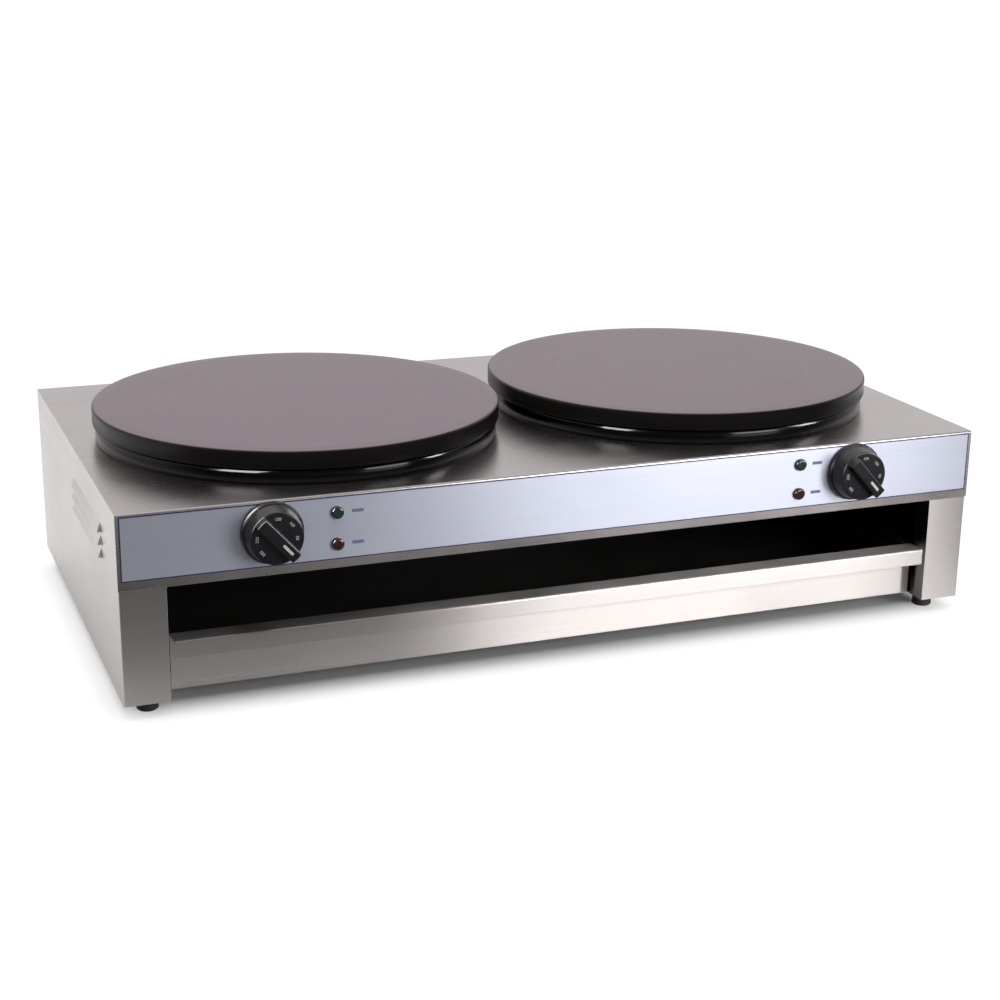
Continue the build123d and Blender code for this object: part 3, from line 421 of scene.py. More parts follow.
@dataclass(frozen=True)
class Finish:
    """What finishes share: a name, wear, relief and a way to become a material."""

    name: str
    smooth: float = 0.3
    dull: float = 0.42
    metal: float = 0.0
    gloss: float = 1.5
    coat: float = 0.0
    coat_dull: float = 0.2
    marks: float = 30.0
    dust: float = 0.12
    dust_tone: Colour = (0.35, 0.33, 0.30)
    rub: float = 0.5 * MM
    rub_tone: Colour = (0.82, 0.82, 0.80)
    rub_share: float = 0.4
    pitch: float = 700.0
    edge: float = 0.5 * MM
    cuts: float = 0.05 * MM
    depth: float = 0.3

    def build(self) -> bpy.types.Material:
        """Finds the material, or makes it the first time.

        Returns:
            The finish's material.
        """
        found = bpy.data.materials.get(self.name)
        if found:
            return found
        material = bpy.data.materials.new(self.name)
        material.use_nodes = True
        graph = Graph(material.node_tree)
        graph.tree.nodes.clear()
        shader = graph.add("BsdfPrincipled", self.paint(graph))
        graph.add("OutputMaterial", {"Surface": shader.outputs[0]})
        return material

    def paint(self, graph: Graph) -> Feeds:
        """Builds the surface and returns what feeds the shader."""
        raise NotImplementedError

    def handled(self, graph: Graph) -> Socket:
        """Masks the patches where the surface was touched."""
        return HandlingMarks().use(graph, Place=graph.place(), Size=self.marks)["Mask"]

    def dusted(self, graph: Graph, colour: Socket) -> Socket:
        """Lays dust over a colour where the surface is level."""
        mask = SettledDust().use(graph, Place=graph.place(), Amount=self.dust)["Mask"]
        return graph.mix(mask, colour, self.dust_tone)

    def rubbed(self, graph: Graph, colour: Any) -> Socket:
        """Rubs a colour lighter along the edges."""
        mask = graph.times(EasedEdges().use(graph, Radius=self.rub)["Mask"], self.rub_share)
        return graph.mix(mask, colour, self.rub_tone)

    def cast(self, graph: Graph) -> Sockets:
        """Adds the grain of a cast or moulded surface."""
        return CastGrain().use(graph, Place=graph.place(), Pitch=self.pitch)

    def relief(self, graph: Graph, height: Socket) -> Socket:
        """Bumps the rounded edges by a pattern's height."""
        bump = {"Height": height, "Distance": self.cuts, "Strength": self.depth,
                "Normal": EasedEdges().use(graph, Radius=self.edge)["Normal"]}
        return graph.add("Bump", bump).outputs[0]

    def surface(self, graph: Graph, colour: Socket, shine: Socket, height: Socket) -> Feeds:
        """Lists what feeds the shader of a plain surface."""
        return {"Base Color": colour, "Metallic": self.metal, "IOR": self.gloss,
                "Roughness": graph.spread(shine, self.smooth, self.dull),
                "Coat Weight": self.coat, "Coat Roughness": self.coat_dull,
                "Normal": self.relief(graph, height)}


@dataclass(frozen=True)
class Brushed(Finish):
    """What brushed sheets share: two shades along a grain, and a few wipe marks."""

    light: Colour = (0.66, 0.622, 0.607)
    dark: Colour = (0.59, 0.553, 0.540)
    grain: Grain = Grain.ALONG_WIDTH
    stretch: float = 1.0
    marks_dull: float = 0.07

    def paint(self, graph: Graph) -> Feeds:
        """Builds metal with a sheen that is stretched across its grain.

        Args:
            graph: the material's graph.

        Returns:
            What feeds the shader.
        """
        scale, axis, turn = self.grain.value
        grain = BrushedGrain().use(graph, Place=graph.place(scale))
        satin = graph.spread(grain["Shade"], self.dull, self.smooth)
        marks = graph.times(self.handled(graph), self.marks_dull)
        tangent = graph.add("Tangent", direction_type="RADIAL", axis=axis)
        return {
            "Base Color": graph.mix(grain["Shade"], self.dark, self.light), "Metallic": 1.0,
            "Roughness": graph.plus(satin, marks), "Tangent": tangent.outputs[0],
            "Anisotropic": self.stretch, "Anisotropic Rotation": turn,
            "Normal": self.relief(graph, grain["Height"]),
        }


@dataclass(frozen=True)
class BrushedSteel(Brushed):
    """Stainless sheet with a satin grain, painted shade on its faces inside the body, and a painted
    pale non-metal tone on the louvres' front ends.
    """

    smooth: float = 0.26
    dull: float = 0.31
    marks: float = 5.0
    rub_tone: Colour = (0.8, 0.79, 0.78)
    rub_share: float = 0.5
    cuts: float = 0.02 * MM
    depth: float = 0.35
    dust: float = 0.16
    dust_tone: Colour = (0.42, 0.40, 0.37)
    inside: Triple = (0.0, 0.0, 0.0)
    inside_from: float = 0.0
    inward: Range = (0.4, 0.8)
    # tone of the painted shade on the faces that look into the body
    inner_shade_tone: Colour = (0.045, 0.042, 0.040)
    louvres_from: float = 0.0
    forward: Range = (-0.6, -0.2)
    # pale tone painted on the louvres' front ends, standing in for how they are lit
    matt: Colour = (0.85, 0.83, 0.82)

    def paint(self, graph: Graph) -> Feeds:
        """Builds brushed metal, with dust and rubbed edges.

        Args:
            graph: the material's graph.

        Returns:
            What feeds the shader.
        """
        feeds = super().paint(graph)
        colour = self.dusted(graph, self.rubbed(graph, feeds["Base Color"]))
        # painted shade: faces inside the body are darkened to stand in for the shade in the cavity
        if any(self.inside):
            colour = graph.mix(self.hidden(graph), colour, self.inner_shade_tone)
        # painted light: the louvres' front ends turn pale and non-metal, so they show mid grey
        # instead of a dark reflection or a glint
        if self.louvres_from < 0.0:
            ends = self.painted_louvre_ends(graph)
            colour = graph.mix(ends, colour, self.matt)
            feeds["Metallic"] = graph.math("SUBTRACT", 1.0, ends)
        return {**feeds, "Base Color": colour}

    def painted_louvre_ends(self, graph: Graph) -> Socket:
        """Masks the louvres' front ends, which get a painted pale non-metal tone in place of their
        dark metal reflection.
        """
        ahead = graph.spread(graph.part(graph.normal(), "Y"), 1.0, 0.0, *self.forward)
        return graph.times(ahead, graph.math("GREATER_THAN", graph.part(graph.place(), "Y"),
                                             self.louvres_from))

    def hidden(self, graph: Graph) -> Socket:
        """Masks the faces that look into the body, which get painted shade."""
        looks = graph.ramp(graph.dot(graph.normal(), self.inside), *self.inward)
        return graph.times(looks, graph.math("LESS_THAN", graph.dot(graph.place(), self.inside),
                                             -self.inside_from))


@dataclass(frozen=True)
class ControlFilm(Brushed):
    """Bluish brushed film with a thin dark line round its edge."""

    light: Colour = (0.675, 0.695, 0.81)
    dark: Colour = (0.615, 0.635, 0.75)
    line: Colour = (0.035, 0.04, 0.13)
    line_width: float = 1.1 * MM
    metal: float = 0.55
    line_metal: float = 0.1
    smooth: float = 0.36
    dull: float = 0.41
    stretch: float = 0.85
    coat: float = 0.2
    marks: float = 8.0
    marks_dull: float = 0.05
    edge: float = 0.1 * MM
    cuts: float = 0.012 * MM

    def paint(self, graph: Graph) -> Feeds:
        """Builds brushed blue metal and the border line.

        Args:
            graph: the material's graph.

        Returns:
            What feeds the shader.
        """
        feeds = super().paint(graph)
        low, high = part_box("control_film")
        where = graph.add("TexCoord").outputs["Object"]
        near = []
        for axis, first, last in (("X", low.x, high.x), ("Z", low.z, high.z)):
            off = graph.math("SUBTRACT", graph.part(where, axis), (first + last) / 2)
            inner = (last - first) / 2 - self.line_width
            near.append(graph.math("GREATER_THAN", graph.math("ABSOLUTE", off), inner))
        border = graph.math("MAXIMUM", *near)
        return {
            **feeds, "Base Color": graph.mix(border, feeds["Base Color"], self.line),
            "Metallic": graph.spread(border, self.metal, self.line_metal),
            "Coat Weight": self.coat, "Coat Roughness": self.coat_dull,
        }


@dataclass(frozen=True)
class GriddleIron(Finish):
    """Cast iron plate: a machined cooking face and a black rim, the face's colour partly painted
    reflection and the rim's partly painted sheen.
    """

    # face colour: the machined iron, raised to stand in for part of its grazing reflection (painted
    # reflection)
    face: Colour = (0.139, 0.104, 0.119)
    worn: Colour = (0.161, 0.123, 0.139)
    worn_share: float = 0.4
    # rim colour: black iron, raised to stand in for the sheen that the side lights no longer give
    # it (painted sheen)
    rim: Colour = (0.013, 0.009, 0.009)
    level: Range = (0.80, 0.97)
    speck: Colour = (0.11, 0.10, 0.105)
    speck_share: float = 0.05
    smooth: float = 0.28
    dull: float = 0.29
    gloss: float = 1.32
    marks: float = 7.0
    marks_dull: float = 0.05
    pitch: float = 900.0
    rub: float = 0.8 * MM
    rub_tone: Colour = (0.16, 0.15, 0.16)
    rub_share: float = 0.06
    edge: float = 0.8 * MM
    depth: float = 0.25

    def paint(self, graph: Graph) -> Feeds:
        """Builds seasoned iron, paler where the face looks up: partly the machined face, partly
        painted reflection.

        Args:
            graph: the material's graph.

        Returns:
            What feeds the shader.
        """
        low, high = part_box("plate_right")
        grain, marks = self.cast(graph), self.handled(graph)
        rings = TurnedRings().use(graph, Place=graph.place(), Across=(low.x + high.x) / 2,
                                  Along=(low.y + high.y) / 2)
        # paler face against the dark rim, by which way the surface looks: partly real, partly
        # painted reflection and sheen
        level = graph.ramp(graph.part(graph.normal(), "Z"), *self.level)
        share = graph.times(graph.plus(marks, rings["Tone"]), self.worn_share)
        iron = graph.mix(level, self.rim, graph.mix(share, self.face, self.worn))
        speckled = graph.mix(graph.times(grain["Tone"], self.speck_share), iron, self.speck)
        satin = graph.spread(level, self.dull, self.smooth)
        cloudy = graph.times(graph.plus(grain["Tone"], marks), self.marks_dull)
        return {
            "Base Color": self.rubbed(graph, speckled),
            "Roughness": graph.plus(satin, cloudy), "IOR": self.gloss,
            "Normal": self.relief(graph, graph.plus(grain["Height"], rings["Height"])),
        }


@dataclass(frozen=True)
class Enamel(Finish):
    """Smooth glossy enamel with a faint ripple."""

    body: Colour = (0.002, 0.002, 0.002)
    rub: float = 0.6 * MM
    rub_tone: Colour = (0.03, 0.03, 0.03)
    rub_share: float = 0.2
    smooth: float = 0.10
    dull: float = 0.18
    gloss: float = 1.35
    marks: float = 14.0
    ripple: float = 60.0

    def paint(self, graph: Graph) -> Feeds:
        """Builds deep gloss."""
        ripple = graph.noise(graph.place(), self.ripple, detail=2.0)
        return self.surface(graph, self.rubbed(graph, self.body), self.handled(graph), ripple)


@dataclass(frozen=True)
class Moulded(Finish):
    """Moulded plastic, ceramic or rubber with a fine texture."""

    body: Colour = (0.02, 0.02, 0.02)
    rub_tone: Colour = (0.08, 0.08, 0.08)
    rub_share: float = 0.35
    pitch: float = 1500.0
    edge: float = 0.4 * MM
    cuts: float = 0.03 * MM
    depth: float = 0.5

    def paint(self, graph: Graph) -> Feeds:
        """Builds the moulding's grain, rubbed lighter on its edges."""
        colour, grain = self.dusted(graph, self.rubbed(graph, self.body)), self.cast(graph)
        return self.surface(graph, colour, grain["Tone"], grain["Height"])


@dataclass(frozen=True)
class PlainMetal(Finish):
    """Plated, coated or heat-stained metal without a brushed grain."""

    body: Colour = (0.6, 0.6, 0.58)
    stain: Colour = (0.45, 0.44, 0.42)
    metal: float = 1.0
    smooth: float = 0.25
    dull: float = 0.45
    rub: float = 0.3 * MM
    edge: float = 0.3 * MM
    cuts: float = 0.01 * MM
    depth: float = 0.4

    def paint(self, graph: Graph) -> Feeds:
        """Builds metal, clouded by stains."""
        grain, metal = self.cast(graph), graph.mix(self.handled(graph), self.body, self.stain)
        return self.surface(graph, self.rubbed(graph, metal), grain["Tone"], grain["Height"])


@dataclass(frozen=True)
class Fibre(Finish):
    """Pressed mineral fibre."""

    body: Colour = (0.82, 0.80, 0.74)
    deep: Colour = (0.6, 0.57, 0.5)
    strands: Triple = (500.0, 60.0, 500.0)
    smooth: float = 0.85
    dull: float = 1.0
    cuts: float = 0.3 * MM
    depth: float = 1.0

    def paint(self, graph: Graph) -> Feeds:
        """Builds matted strands."""
        strands = graph.noise(graph.place(self.strands), scale=1.0, detail=6.0, Distortion=2.0)
        return self.surface(graph, graph.mix(strands, self.deep, self.body), strands, strands)


@dataclass(frozen=True)
class LampLens(Finish):
    """Tinted domed lens over an unlit lamp, with ribs inside."""

    tint: Colour = (0.02, 0.2, 0.08)
    deep: Colour = (0.005, 0.03, 0.015)
    ribs: float = 320.0
    ribs_bent: float = 0.3
    ribs_share: float = 0.75
    smooth: float = 0.12
    dull: float = 0.2
    coat: float = 0.6
    coat_dull: float = 0.05
    edge: float = 0.3 * MM
    cuts: float = 0.02 * MM

    def paint(self, graph: Graph) -> Feeds:
        """Builds tinted gloss over darker ribs.

        Args:
            graph: the material's graph.

        Returns:
            What feeds the shader.
        """
        inputs = {"Vector": graph.place(), "Scale": self.ribs, "Distortion": self.ribs_bent}
        ribs = graph.add("TexWave", inputs, bands_direction="X").outputs[1]
        colour = graph.mix(graph.times(ribs, self.ribs_share), self.deep, self.tint)
        return self.surface(graph, colour, ribs, ribs)


@dataclass(frozen=True)
class Ink(Finish):
    """Printed or filled-in paint, slightly uneven."""

    body: Colour = (0.85, 0.84, 0.8)
    thin: Colour = (0.6, 0.59, 0.56)
    thin_share: float = 0.8
    patches: float = 1800.0
    smooth: float = 0.35
    dull: float = 0.55

    def paint(self, graph: Graph) -> Feeds:
        """Builds paint."""
        cloud = graph.noise(graph.place(), self.patches, detail=4.0)
        return {"Base Color": graph.mix(graph.times(cloud, self.thin_share), self.body, self.thin),
                "Roughness": graph.spread(cloud, self.smooth, self.dull)}


STEEL = BrushedSteel("stainless_cover")
STEEL_TOP = BrushedSteel("stainless_top", light=(0.67, 0.615, 0.612), dark=(0.60, 0.55, 0.548),
                         smooth=0.24, dull=0.28, stretch=0.2, depth=0.12, dust=0.05)
# the side and rear panels carry painted shade on their faces inside the body
STEEL_LEFT, STEEL_RIGHT = (
    BrushedSteel(f"stainless_{side.word}", grain=Grain.LEVEL, inside=(-float(side.value), 0.0, 0.0),
                 inside_from=0.42, louvres_from=-0.2) for side in Side)
STEEL_REAR = BrushedSteel("stainless_rear", inside=(0.0, -1.0, 0.0), inside_from=0.2)
# painted shade: a near-black sheet for the parts seen through the slot, standing in for the shade
# inside the body
SHADE_BLACK_SHEET = Moulded("shade_black_sheet", body=(0.030, 0.029, 0.029), rub_tone=(0.07, 0.07, 0.07),
                       smooth=0.32, dull=0.42, pitch=1100.0, cuts=0.01 * MM)
PRINT_WHITE = Ink("print_white")
PRINT_BLUE = Ink("print_blue", body=(0.13, 0.15, 0.26), thin=(0.26, 0.28, 0.42))
ZINC = PlainMetal("zinc_plate", body=(0.66, 0.66, 0.64), stain=(0.55, 0.54, 0.50))

SLOT_FINISHES: dict[str, Finish] = {
    "stainless": STEEL,
    "control_film": ControlFilm("brushed_film"),
    "griddle_iron": GriddleIron("seasoned_iron"),
    "black_enamel": Enamel("black_gloss_enamel"),
    "aluminised_steel": PlainMetal("aluminised_sheet", body=(0.22, 0.22, 0.22),
                                   stain=(0.14, 0.14, 0.14), smooth=0.45, dull=0.6),
    "mineral_fibre": Fibre("pressed_fibre"),
    "element_sheath": PlainMetal("heated_sheath", body=(0.23, 0.22, 0.21),
                                 stain=(0.12, 0.10, 0.13)),
    "plated_steel": ZINC,
    "copper": PlainMetal("drawn_copper", body=(0.72, 0.42, 0.27), stain=(0.4, 0.22, 0.15)),
    "thermostat_body": Moulded("thermostat_case", body=(0.78, 0.76, 0.7),
                               rub_tone=(0.85, 0.84, 0.8)),
    "terminal_ceramic": Moulded("glazed_ceramic", body=(0.86, 0.85, 0.81),
                                rub_tone=(0.9, 0.9, 0.88), smooth=0.2, dull=0.3),
    "lead_sleeve": Moulded("woven_sleeve", body=(0.35, 0.12, 0.08), rub_tone=(0.4, 0.2, 0.15),
                           pitch=2500.0),
    "knob_black": Moulded("dial_plastic", body=(0.011, 0.011, 0.015), rub_tone=(0.05, 0.05, 0.06),
                          smooth=0.18, dull=0.28),
    "lens_green": LampLens("green_lens", tint=(0.015, 0.065, 0.045), deep=(0.006, 0.025, 0.018)),
    "lens_red": LampLens("red_lens", tint=(0.085, 0.022, 0.024), deep=(0.035, 0.010, 0.011)),
    "lamp_body": Moulded("lamp_housing", body=(0.72, 0.72, 0.69), rub_tone=(0.8, 0.8, 0.78)),
    "gland_black": Moulded("gland_plastic", body=(0.025, 0.025, 0.025), smooth=0.35, dull=0.5),
    "foot_rubber": Moulded("rubber_foot", body=(0.018, 0.018, 0.018), rub_tone=(0.05, 0.05, 0.05),
                           smooth=0.55, dull=0.75, pitch=900.0, cuts=0.06 * MM),
}
NODE_FINISHES: dict[str, Finish] = {
    "top_cover": STEEL_TOP, "side_panel_left": STEEL_LEFT, "side_panel_right": STEEL_RIGHT,
    "rear_panel": STEEL_REAR,
    # the parts inside the body take the near-black sheet (painted shade)
    **{node: SHADE_BLACK_SHEET for node in (
        "compartment_floor", "drawer_tray", "drawer_runner_left", "drawer_runner_right",
        "runner_brackets_left", "runner_brackets_right")},
}


# ---------------- modelling helpers


def select_only(*pieces: Piece) -> None:
    """Leaves edit mode and selects only these pieces, the first one as the active one.

    Args:
        pieces: the pieces to work on, or none to deselect everything.
    """
    if bpy.context.object and bpy.context.object.mode != "OBJECT":
        bpy.ops.object.mode_set(mode="OBJECT")
    bpy.ops.object.select_all(action="DESELECT")
    for piece in pieces:
        piece.select_set(True)
    if pieces:
        bpy.context.view_layer.objects.active = pieces[0]


def pick(piece: Piece, kind: Pick, wanted: Callable[[Any], bool]) -> None:
    """Opens a piece in edit mode with only some of its faces or edges selected.

    Args:
        piece: the piece that is edited.
        kind: what is picked.
        wanted: says of a face or an edge whether it is selected.
    """
    select_only(piece)
    bpy.ops.object.mode_set(mode="EDIT")
    bpy.ops.mesh.select_all(action="DESELECT")
    bpy.ops.mesh.select_mode(type=kind.value)
    mesh = bmesh.from_edit_mesh(piece.data)
    for member in mesh.faces if kind is Pick.FACES else mesh.edges:
        member.select = wanted(member)
    bmesh.update_edit_mesh(piece.data)


def turned(place: Vector | Triple, *turns: tuple[float, str]) -> Matrix:
    """Gives the matrix of a place and the turns there, one axis after another."""
    steps = (Matrix.Rotation(angle, 4, axis) for angle, axis in turns)
    return functools.reduce(operator.matmul, steps, Matrix.Translation(place))


def smooth(piece: Piece) -> None:
    """Shades the gentle edges of a piece smooth."""
    select_only(piece)
    bpy.ops.object.shade_smooth_by_angle(angle=SMOOTH_BELOW)


def settle(piece: Piece, name: str) -> Piece:
    """Applies a piece's modifiers and place, and names it.

    Args:
        piece: the piece, which may still be turned or moved.
        name: its final name.

    Returns:
        The same piece, with its place in its mesh.
    """
    select_only(piece)
    for modifier in list(piece.modifiers):
        bpy.ops.object.modifier_apply(modifier=modifier.name)
    bpy.ops.object.transform_apply(location=True, rotation=True, scale=True)
    piece.name = piece.data.name = name
    select_only()
    return piece


def dress(piece: Piece, finish: Finish, body: str) -> None:
    """Gives a piece its finish and lets it ride on a body.

    Args:
        piece: the finished piece.
        finish: what its surface is.
        body: the CAD body it moves with.
    """
    piece.data.materials.clear()
    piece.data.materials.append(finish.build())
    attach(piece, body)
    LOG.info("piece %s rides on %s, %d faces", piece.name, body, len(piece.data.polygons))


def merge(pieces: list[Piece], name: str) -> Piece:
    """Joins several settled pieces into one.

    Args:
        pieces: the pieces, in order.
        name: the name of the result.

    Returns:
        The one piece.
    """
    select_only(*pieces)
    bpy.ops.object.join()
    return settle(pieces[0], name)


def rounded_bar(place: Vector, size: Triple, corner: float, steps: int,
                turn: float = 0.0) -> Piece:
    """Makes a flat bar that faces the front, with rounded corners.

    Args:
        place: its middle.
        size: its length, thickness and height.
        corner: the radius of its corners.
        steps: how many faces each corner has.
        turn: its angle about the Y axis.

    Returns:
        The bar, in edit mode.
    """
    select_only()
    bpy.ops.mesh.primitive_cube_add(size=1.0, location=place, rotation=(0.0, -turn, 0.0),
                                    scale=size)
    piece = bpy.context.object
    bpy.ops.object.transform_apply(location=False, rotation=False, scale=True)
    pick(piece, Pick.EDGES,
         lambda edge: abs((edge.verts[0].co - edge.verts[1].co).y) > size[1] / 2)
    bpy.ops.mesh.bevel(offset=corner, segments=steps)
    return piece


# ---------------- sub-assemblies


@dataclass
class PackedParts:
    """The parts that keep their own shape and get a finish."""

    nodes: dict[str, Piece]
    slots: dict[str, str]

    def dress(self) -> None:
        """Gives each part the finish of its slot, or its own."""
        for name, node in sorted(self.nodes.items()):
            finish = NODE_FINISHES.get(name) or SLOT_FINISHES[self.slots[name]]
            node.data.materials.clear()
            node.data.materials.append(finish.build())
            LOG.info("part %s is %s", name, finish.name)


@dataclass
class Griddle:
    """One turned cooking plate on its rolled ring."""

    side: Side
    steps: int = 256
    rim_width: float = 14.0 * MM
    web: float = 12.0 * MM
    upper_edge: float = 2.5 * MM
    upper_steps: int = 6
    lower_edge: float = 1.2 * MM
    lower_steps: int = 3
    ring_flange: float = 14.0 * MM
    ring_shoulder: float = 5.0 * MM
    ring_steps: int = 8
    ring_sheet: float = 1.5 * MM

    def build(self) -> None:
        """Builds the plate and its ring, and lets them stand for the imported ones."""
        word = self.side.word
        for node, make, slot in ((f"plate_{word}", self.plate, "griddle_iron"),
                                 (f"plate_ring_{word}", self.ring, "black_enamel")):
            low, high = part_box(node)
            select_only()
            bpy.ops.mesh.primitive_cylinder_add(vertices=self.steps, radius=(high.x - low.x) / 2,
                                                depth=high.z - low.z, location=(low + high) / 2)
            piece = bpy.context.object
            make(piece, (high.z - low.z) / 2)
            smooth(piece)
            settle(piece, f"turned_{node}")
            dress(piece, SLOT_FINISHES[slot], "base")
            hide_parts(node)

    def plate(self, piece: Piece, half: float) -> None:
        """Shapes the plate: a hollow under its web and eased edges.

        Args:
            piece: the round blank.
            half: half its height.
        """
        pick(piece, Pick.FACES, lambda face: face.normal.z < -STEEP)
        bpy.ops.mesh.inset(thickness=self.rim_width)
        sunk = 2 * half - self.web
        bpy.ops.mesh.extrude_region_move(TRANSFORM_OT_translate={"value": (0.0, 0.0, sunk)})
        self.ease(piece, half, self.upper_edge, self.upper_steps)
        self.ease(piece, -half, self.lower_edge, self.lower_steps)
        pick(piece, Pick.FACES, lambda face: face.normal.z > LEVEL)
        bpy.ops.mesh.inset(thickness=self.rim_width)

    def ring(self, piece: Piece, half: float) -> None:
        """Shapes the ring: open below, rolled over a wide shoulder into its flange.

        Args:
            piece: the round blank.
            half: half its height.
        """
        pick(piece, Pick.FACES, lambda face: face.normal.z < -STEEP)
        bpy.ops.mesh.delete(type="FACE")
        pick(piece, Pick.FACES, lambda face: face.normal.z > STEEP)
        bpy.ops.mesh.inset(thickness=self.ring_flange)
        bpy.ops.mesh.delete(type="FACE")
        self.ease(piece, half, self.ring_shoulder, self.ring_steps)
        sheet = piece.modifiers.new("sheet", "SOLIDIFY")
        sheet.thickness = self.ring_sheet
        sheet.offset = -1.0
        sheet.use_even_offset = True

    def ease(self, piece: Piece, level: float, size: float, steps: int) -> None:
        """Rounds the outer edge at one height.

        Args:
            piece: the part in edit mode.
            level: the edge's height from the part's middle.
            size: the radius of the rounding.
            steps: how many faces the rounding has.
        """
        close = size / 9
        radius = max(vertex.co.xy.length for vertex in bmesh.from_edit_mesh(piece.data).verts)
        pick(piece, Pick.EDGES,
             lambda edge: all(abs(vertex.co.z - level) < close
                              and vertex.co.xy.length > radius - close for vertex in edge.verts))
        bpy.ops.mesh.bevel(offset=size, segments=steps)


@dataclass
class RearScrews:
    """Pan-head screws with a cross recess, along both sides of the rear panel."""

    node: str = "rear_panel_screws"
    steps: int = 32
    head_radius: float = 3.8 * MM
    head: float = 2.2 * MM
    head_round: float = 1.0 * MM
    round_steps: int = 4
    shank_radius: float = 2.0 * MM
    recess_length: float = 4.4 * MM
    recess_width: float = 1.0 * MM
    recess_depth: float = 1.3 * MM
    recess_foot: Range = (0.5, 0.7)
    levels: int = 3
    first_turn: float = 0.4
    turn_step: float = 1.1

    def build(self) -> None:
        """Builds one screw, copies it to each place and joins the set."""
        low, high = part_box(self.node)
        seat = high.y - self.head
        first = self.screw(seat - low.y)
        reach = (high.x - low.x) / 2 - self.head_radius
        step = (high.z - low.z - 2 * self.head_radius) / (self.levels - 1)
        made = []
        for side in Side:
            for level in range(self.levels):
                copy = bpy.data.objects.new("rear_screw", first.data.copy())
                bpy.context.scene.collection.objects.link(copy)
                height = low.z + self.head_radius + level * step
                turn = self.first_turn + self.turn_step * level + side.value
                place = (side.value * reach, seat, height)
                copy.matrix_world = turned(place, (-QUARTER, "X"), (turn, "Z"))
                made.append(settle(copy, f"rear_screw_{len(made)}"))
        bpy.data.objects.remove(first)
        screws = merge(made, "rear_screws")
        dress(screws, ZINC, "base")
        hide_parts(self.node)

    def screw(self, grip: float) -> Piece:
        """Shapes one screw that stands on its seat at the origin.

        Args:
            grip: the length of the shank.

        Returns:
            The screw, its head up.
        """
        select_only()
        bpy.ops.mesh.primitive_cylinder_add(vertices=self.steps, radius=self.head_radius,
                                            depth=self.head, location=(0.0, 0.0, self.head / 2))
        piece = bpy.context.object
        pick(piece, Pick.EDGES, lambda edge: all(vertex.co.z > 0 for vertex in edge.verts))
        bpy.ops.mesh.bevel(offset=self.head_round, segments=self.round_steps)
        pick(piece, Pick.FACES, lambda face: face.normal.z < -STEEP)
        bpy.ops.mesh.inset(thickness=self.head_radius - self.shank_radius)
        bpy.ops.mesh.extrude_region_move(TRANSFORM_OT_translate={"value": (0.0, 0.0, -grip)})
        smooth(piece)
        settle(piece, "rear_screw_blank")
        for turn, foot in ((0.0, self.recess_foot), (QUARTER, self.recess_foot[::-1])):
            cut = piece.modifiers.new("recess", "BOOLEAN")
            cut.operation = "DIFFERENCE"
            cut.object = wing = self.recess(turn, foot)
            settle(piece, piece.name)
            bpy.data.objects.remove(wing)
        return piece

    def recess(self, turn: float, foot: Range) -> Piece:
        """Shapes one wing of the cross that is cut into the head.

        Args:
            turn: the wing's angle about the screw's axis.
            foot: how much narrower its bottom is, along X and Y.

        Returns:
            The wing, for a boolean cut.
        """
        select_only()
        size = (self.recess_length, self.recess_width, 2 * self.recess_depth)
        bpy.ops.mesh.primitive_cube_add(size=1.0, location=(0.0, 0.0, self.head),
                                        rotation=(0.0, 0.0, turn), scale=size)
        wing = bpy.context.object
        pick(wing, Pick.FACES, lambda face: face.normal.z < -STEEP)
        bpy.ops.transform.resize(value=(*foot, 1.0))
        return settle(wing, "recess_wing")


@dataclass
class DialPrint:
    """White pointer line and plain numbers on one dial."""

    side: Side
    turn: float = -48.0
    pointer_start: float = 4.5 * MM
    pointer_end: float = 17.5 * MM
    pointer_play: float = 0.05 * MM
    pointer_steps: int = 6
    roundness: float = 0.49
    groove_depth: float = 0.5 * MM
    groove_width: float = 2.6 * MM
    sink: float = 0.1 * MM
    thickness: float = 0.04 * MM
    number_height: float = 4.0 * MM
    number_circle: float = 17.8 * MM
    face_drop: float = 9.0 * MM
    numbers: tuple[tuple[str, float], ...] = (("50", 45.0), ("100", 90.0), ("150", 135.0),
                                              ("250", 225.0), ("300", 270.0))

    def build(self) -> None:
        """Builds the pointer and the ring of numbers."""
        low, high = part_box(f"knob_{self.side.word}")
        middle = Vector(((low.x + high.x) / 2, low.y, (low.z + high.z) / 2))
        for make in (self.pointer, self.scale):
            dress(make(middle), PRINT_WHITE, f"dial_{self.side.word}")

    @staticmethod
    def step(angle: float, reach: float) -> Vector:
        """Steps over the front of the dial, at an angle from its right side."""
        return Vector((math.cos(angle), 0.0, math.sin(angle))) * reach

    def pointer(self, middle: Vector) -> Piece:
        """Builds the line that is filled in on the grip bar.

        Args:
            middle: the dial's axis at the top of the bar.

        Returns:
            The settled piece.
        """
        angle = math.radians(self.turn)
        away = self.step(angle, (self.pointer_start + self.pointer_end) / 2)
        depth = self.groove_depth - self.sink
        away.y = self.sink + depth / 2
        width = self.groove_width - 2 * self.pointer_play
        length = self.pointer_end - self.pointer_start - 2 * self.pointer_play
        bar = rounded_bar(middle + away, (length, depth, width), width * self.roundness,
                          self.pointer_steps, angle)
        return settle(bar, f"dial_pointer_{self.side.word}")

    def scale(self, middle: Vector) -> Piece:
        """Builds the numbers on the round face.

        Args:
            middle: the dial's axis at the top of the bar.

        Returns:
            The numbers as one piece.
        """
        made = []
        for word, turn in self.numbers:
            angle = math.radians(self.turn + turn)
            select_only()
            bpy.ops.object.text_add()
            text = bpy.context.object.data
            text.body = word
            text.size = self.number_height
            text.align_x = text.align_y = "CENTER"
            text.extrude = self.thickness
            text.resolution_u = 2
            bpy.ops.object.convert(target="MESH")
            place = middle + self.step(angle, self.number_circle)
            place.y += self.face_drop
            piece = bpy.context.object
            piece.matrix_world = turned(place, (QUARTER - angle, "Y"), (QUARTER, "X"))
            made.append(settle(piece, f"dial_number_{self.side.word}_{word}"))
        return merge(made, f"dial_scale_{self.side.word}")


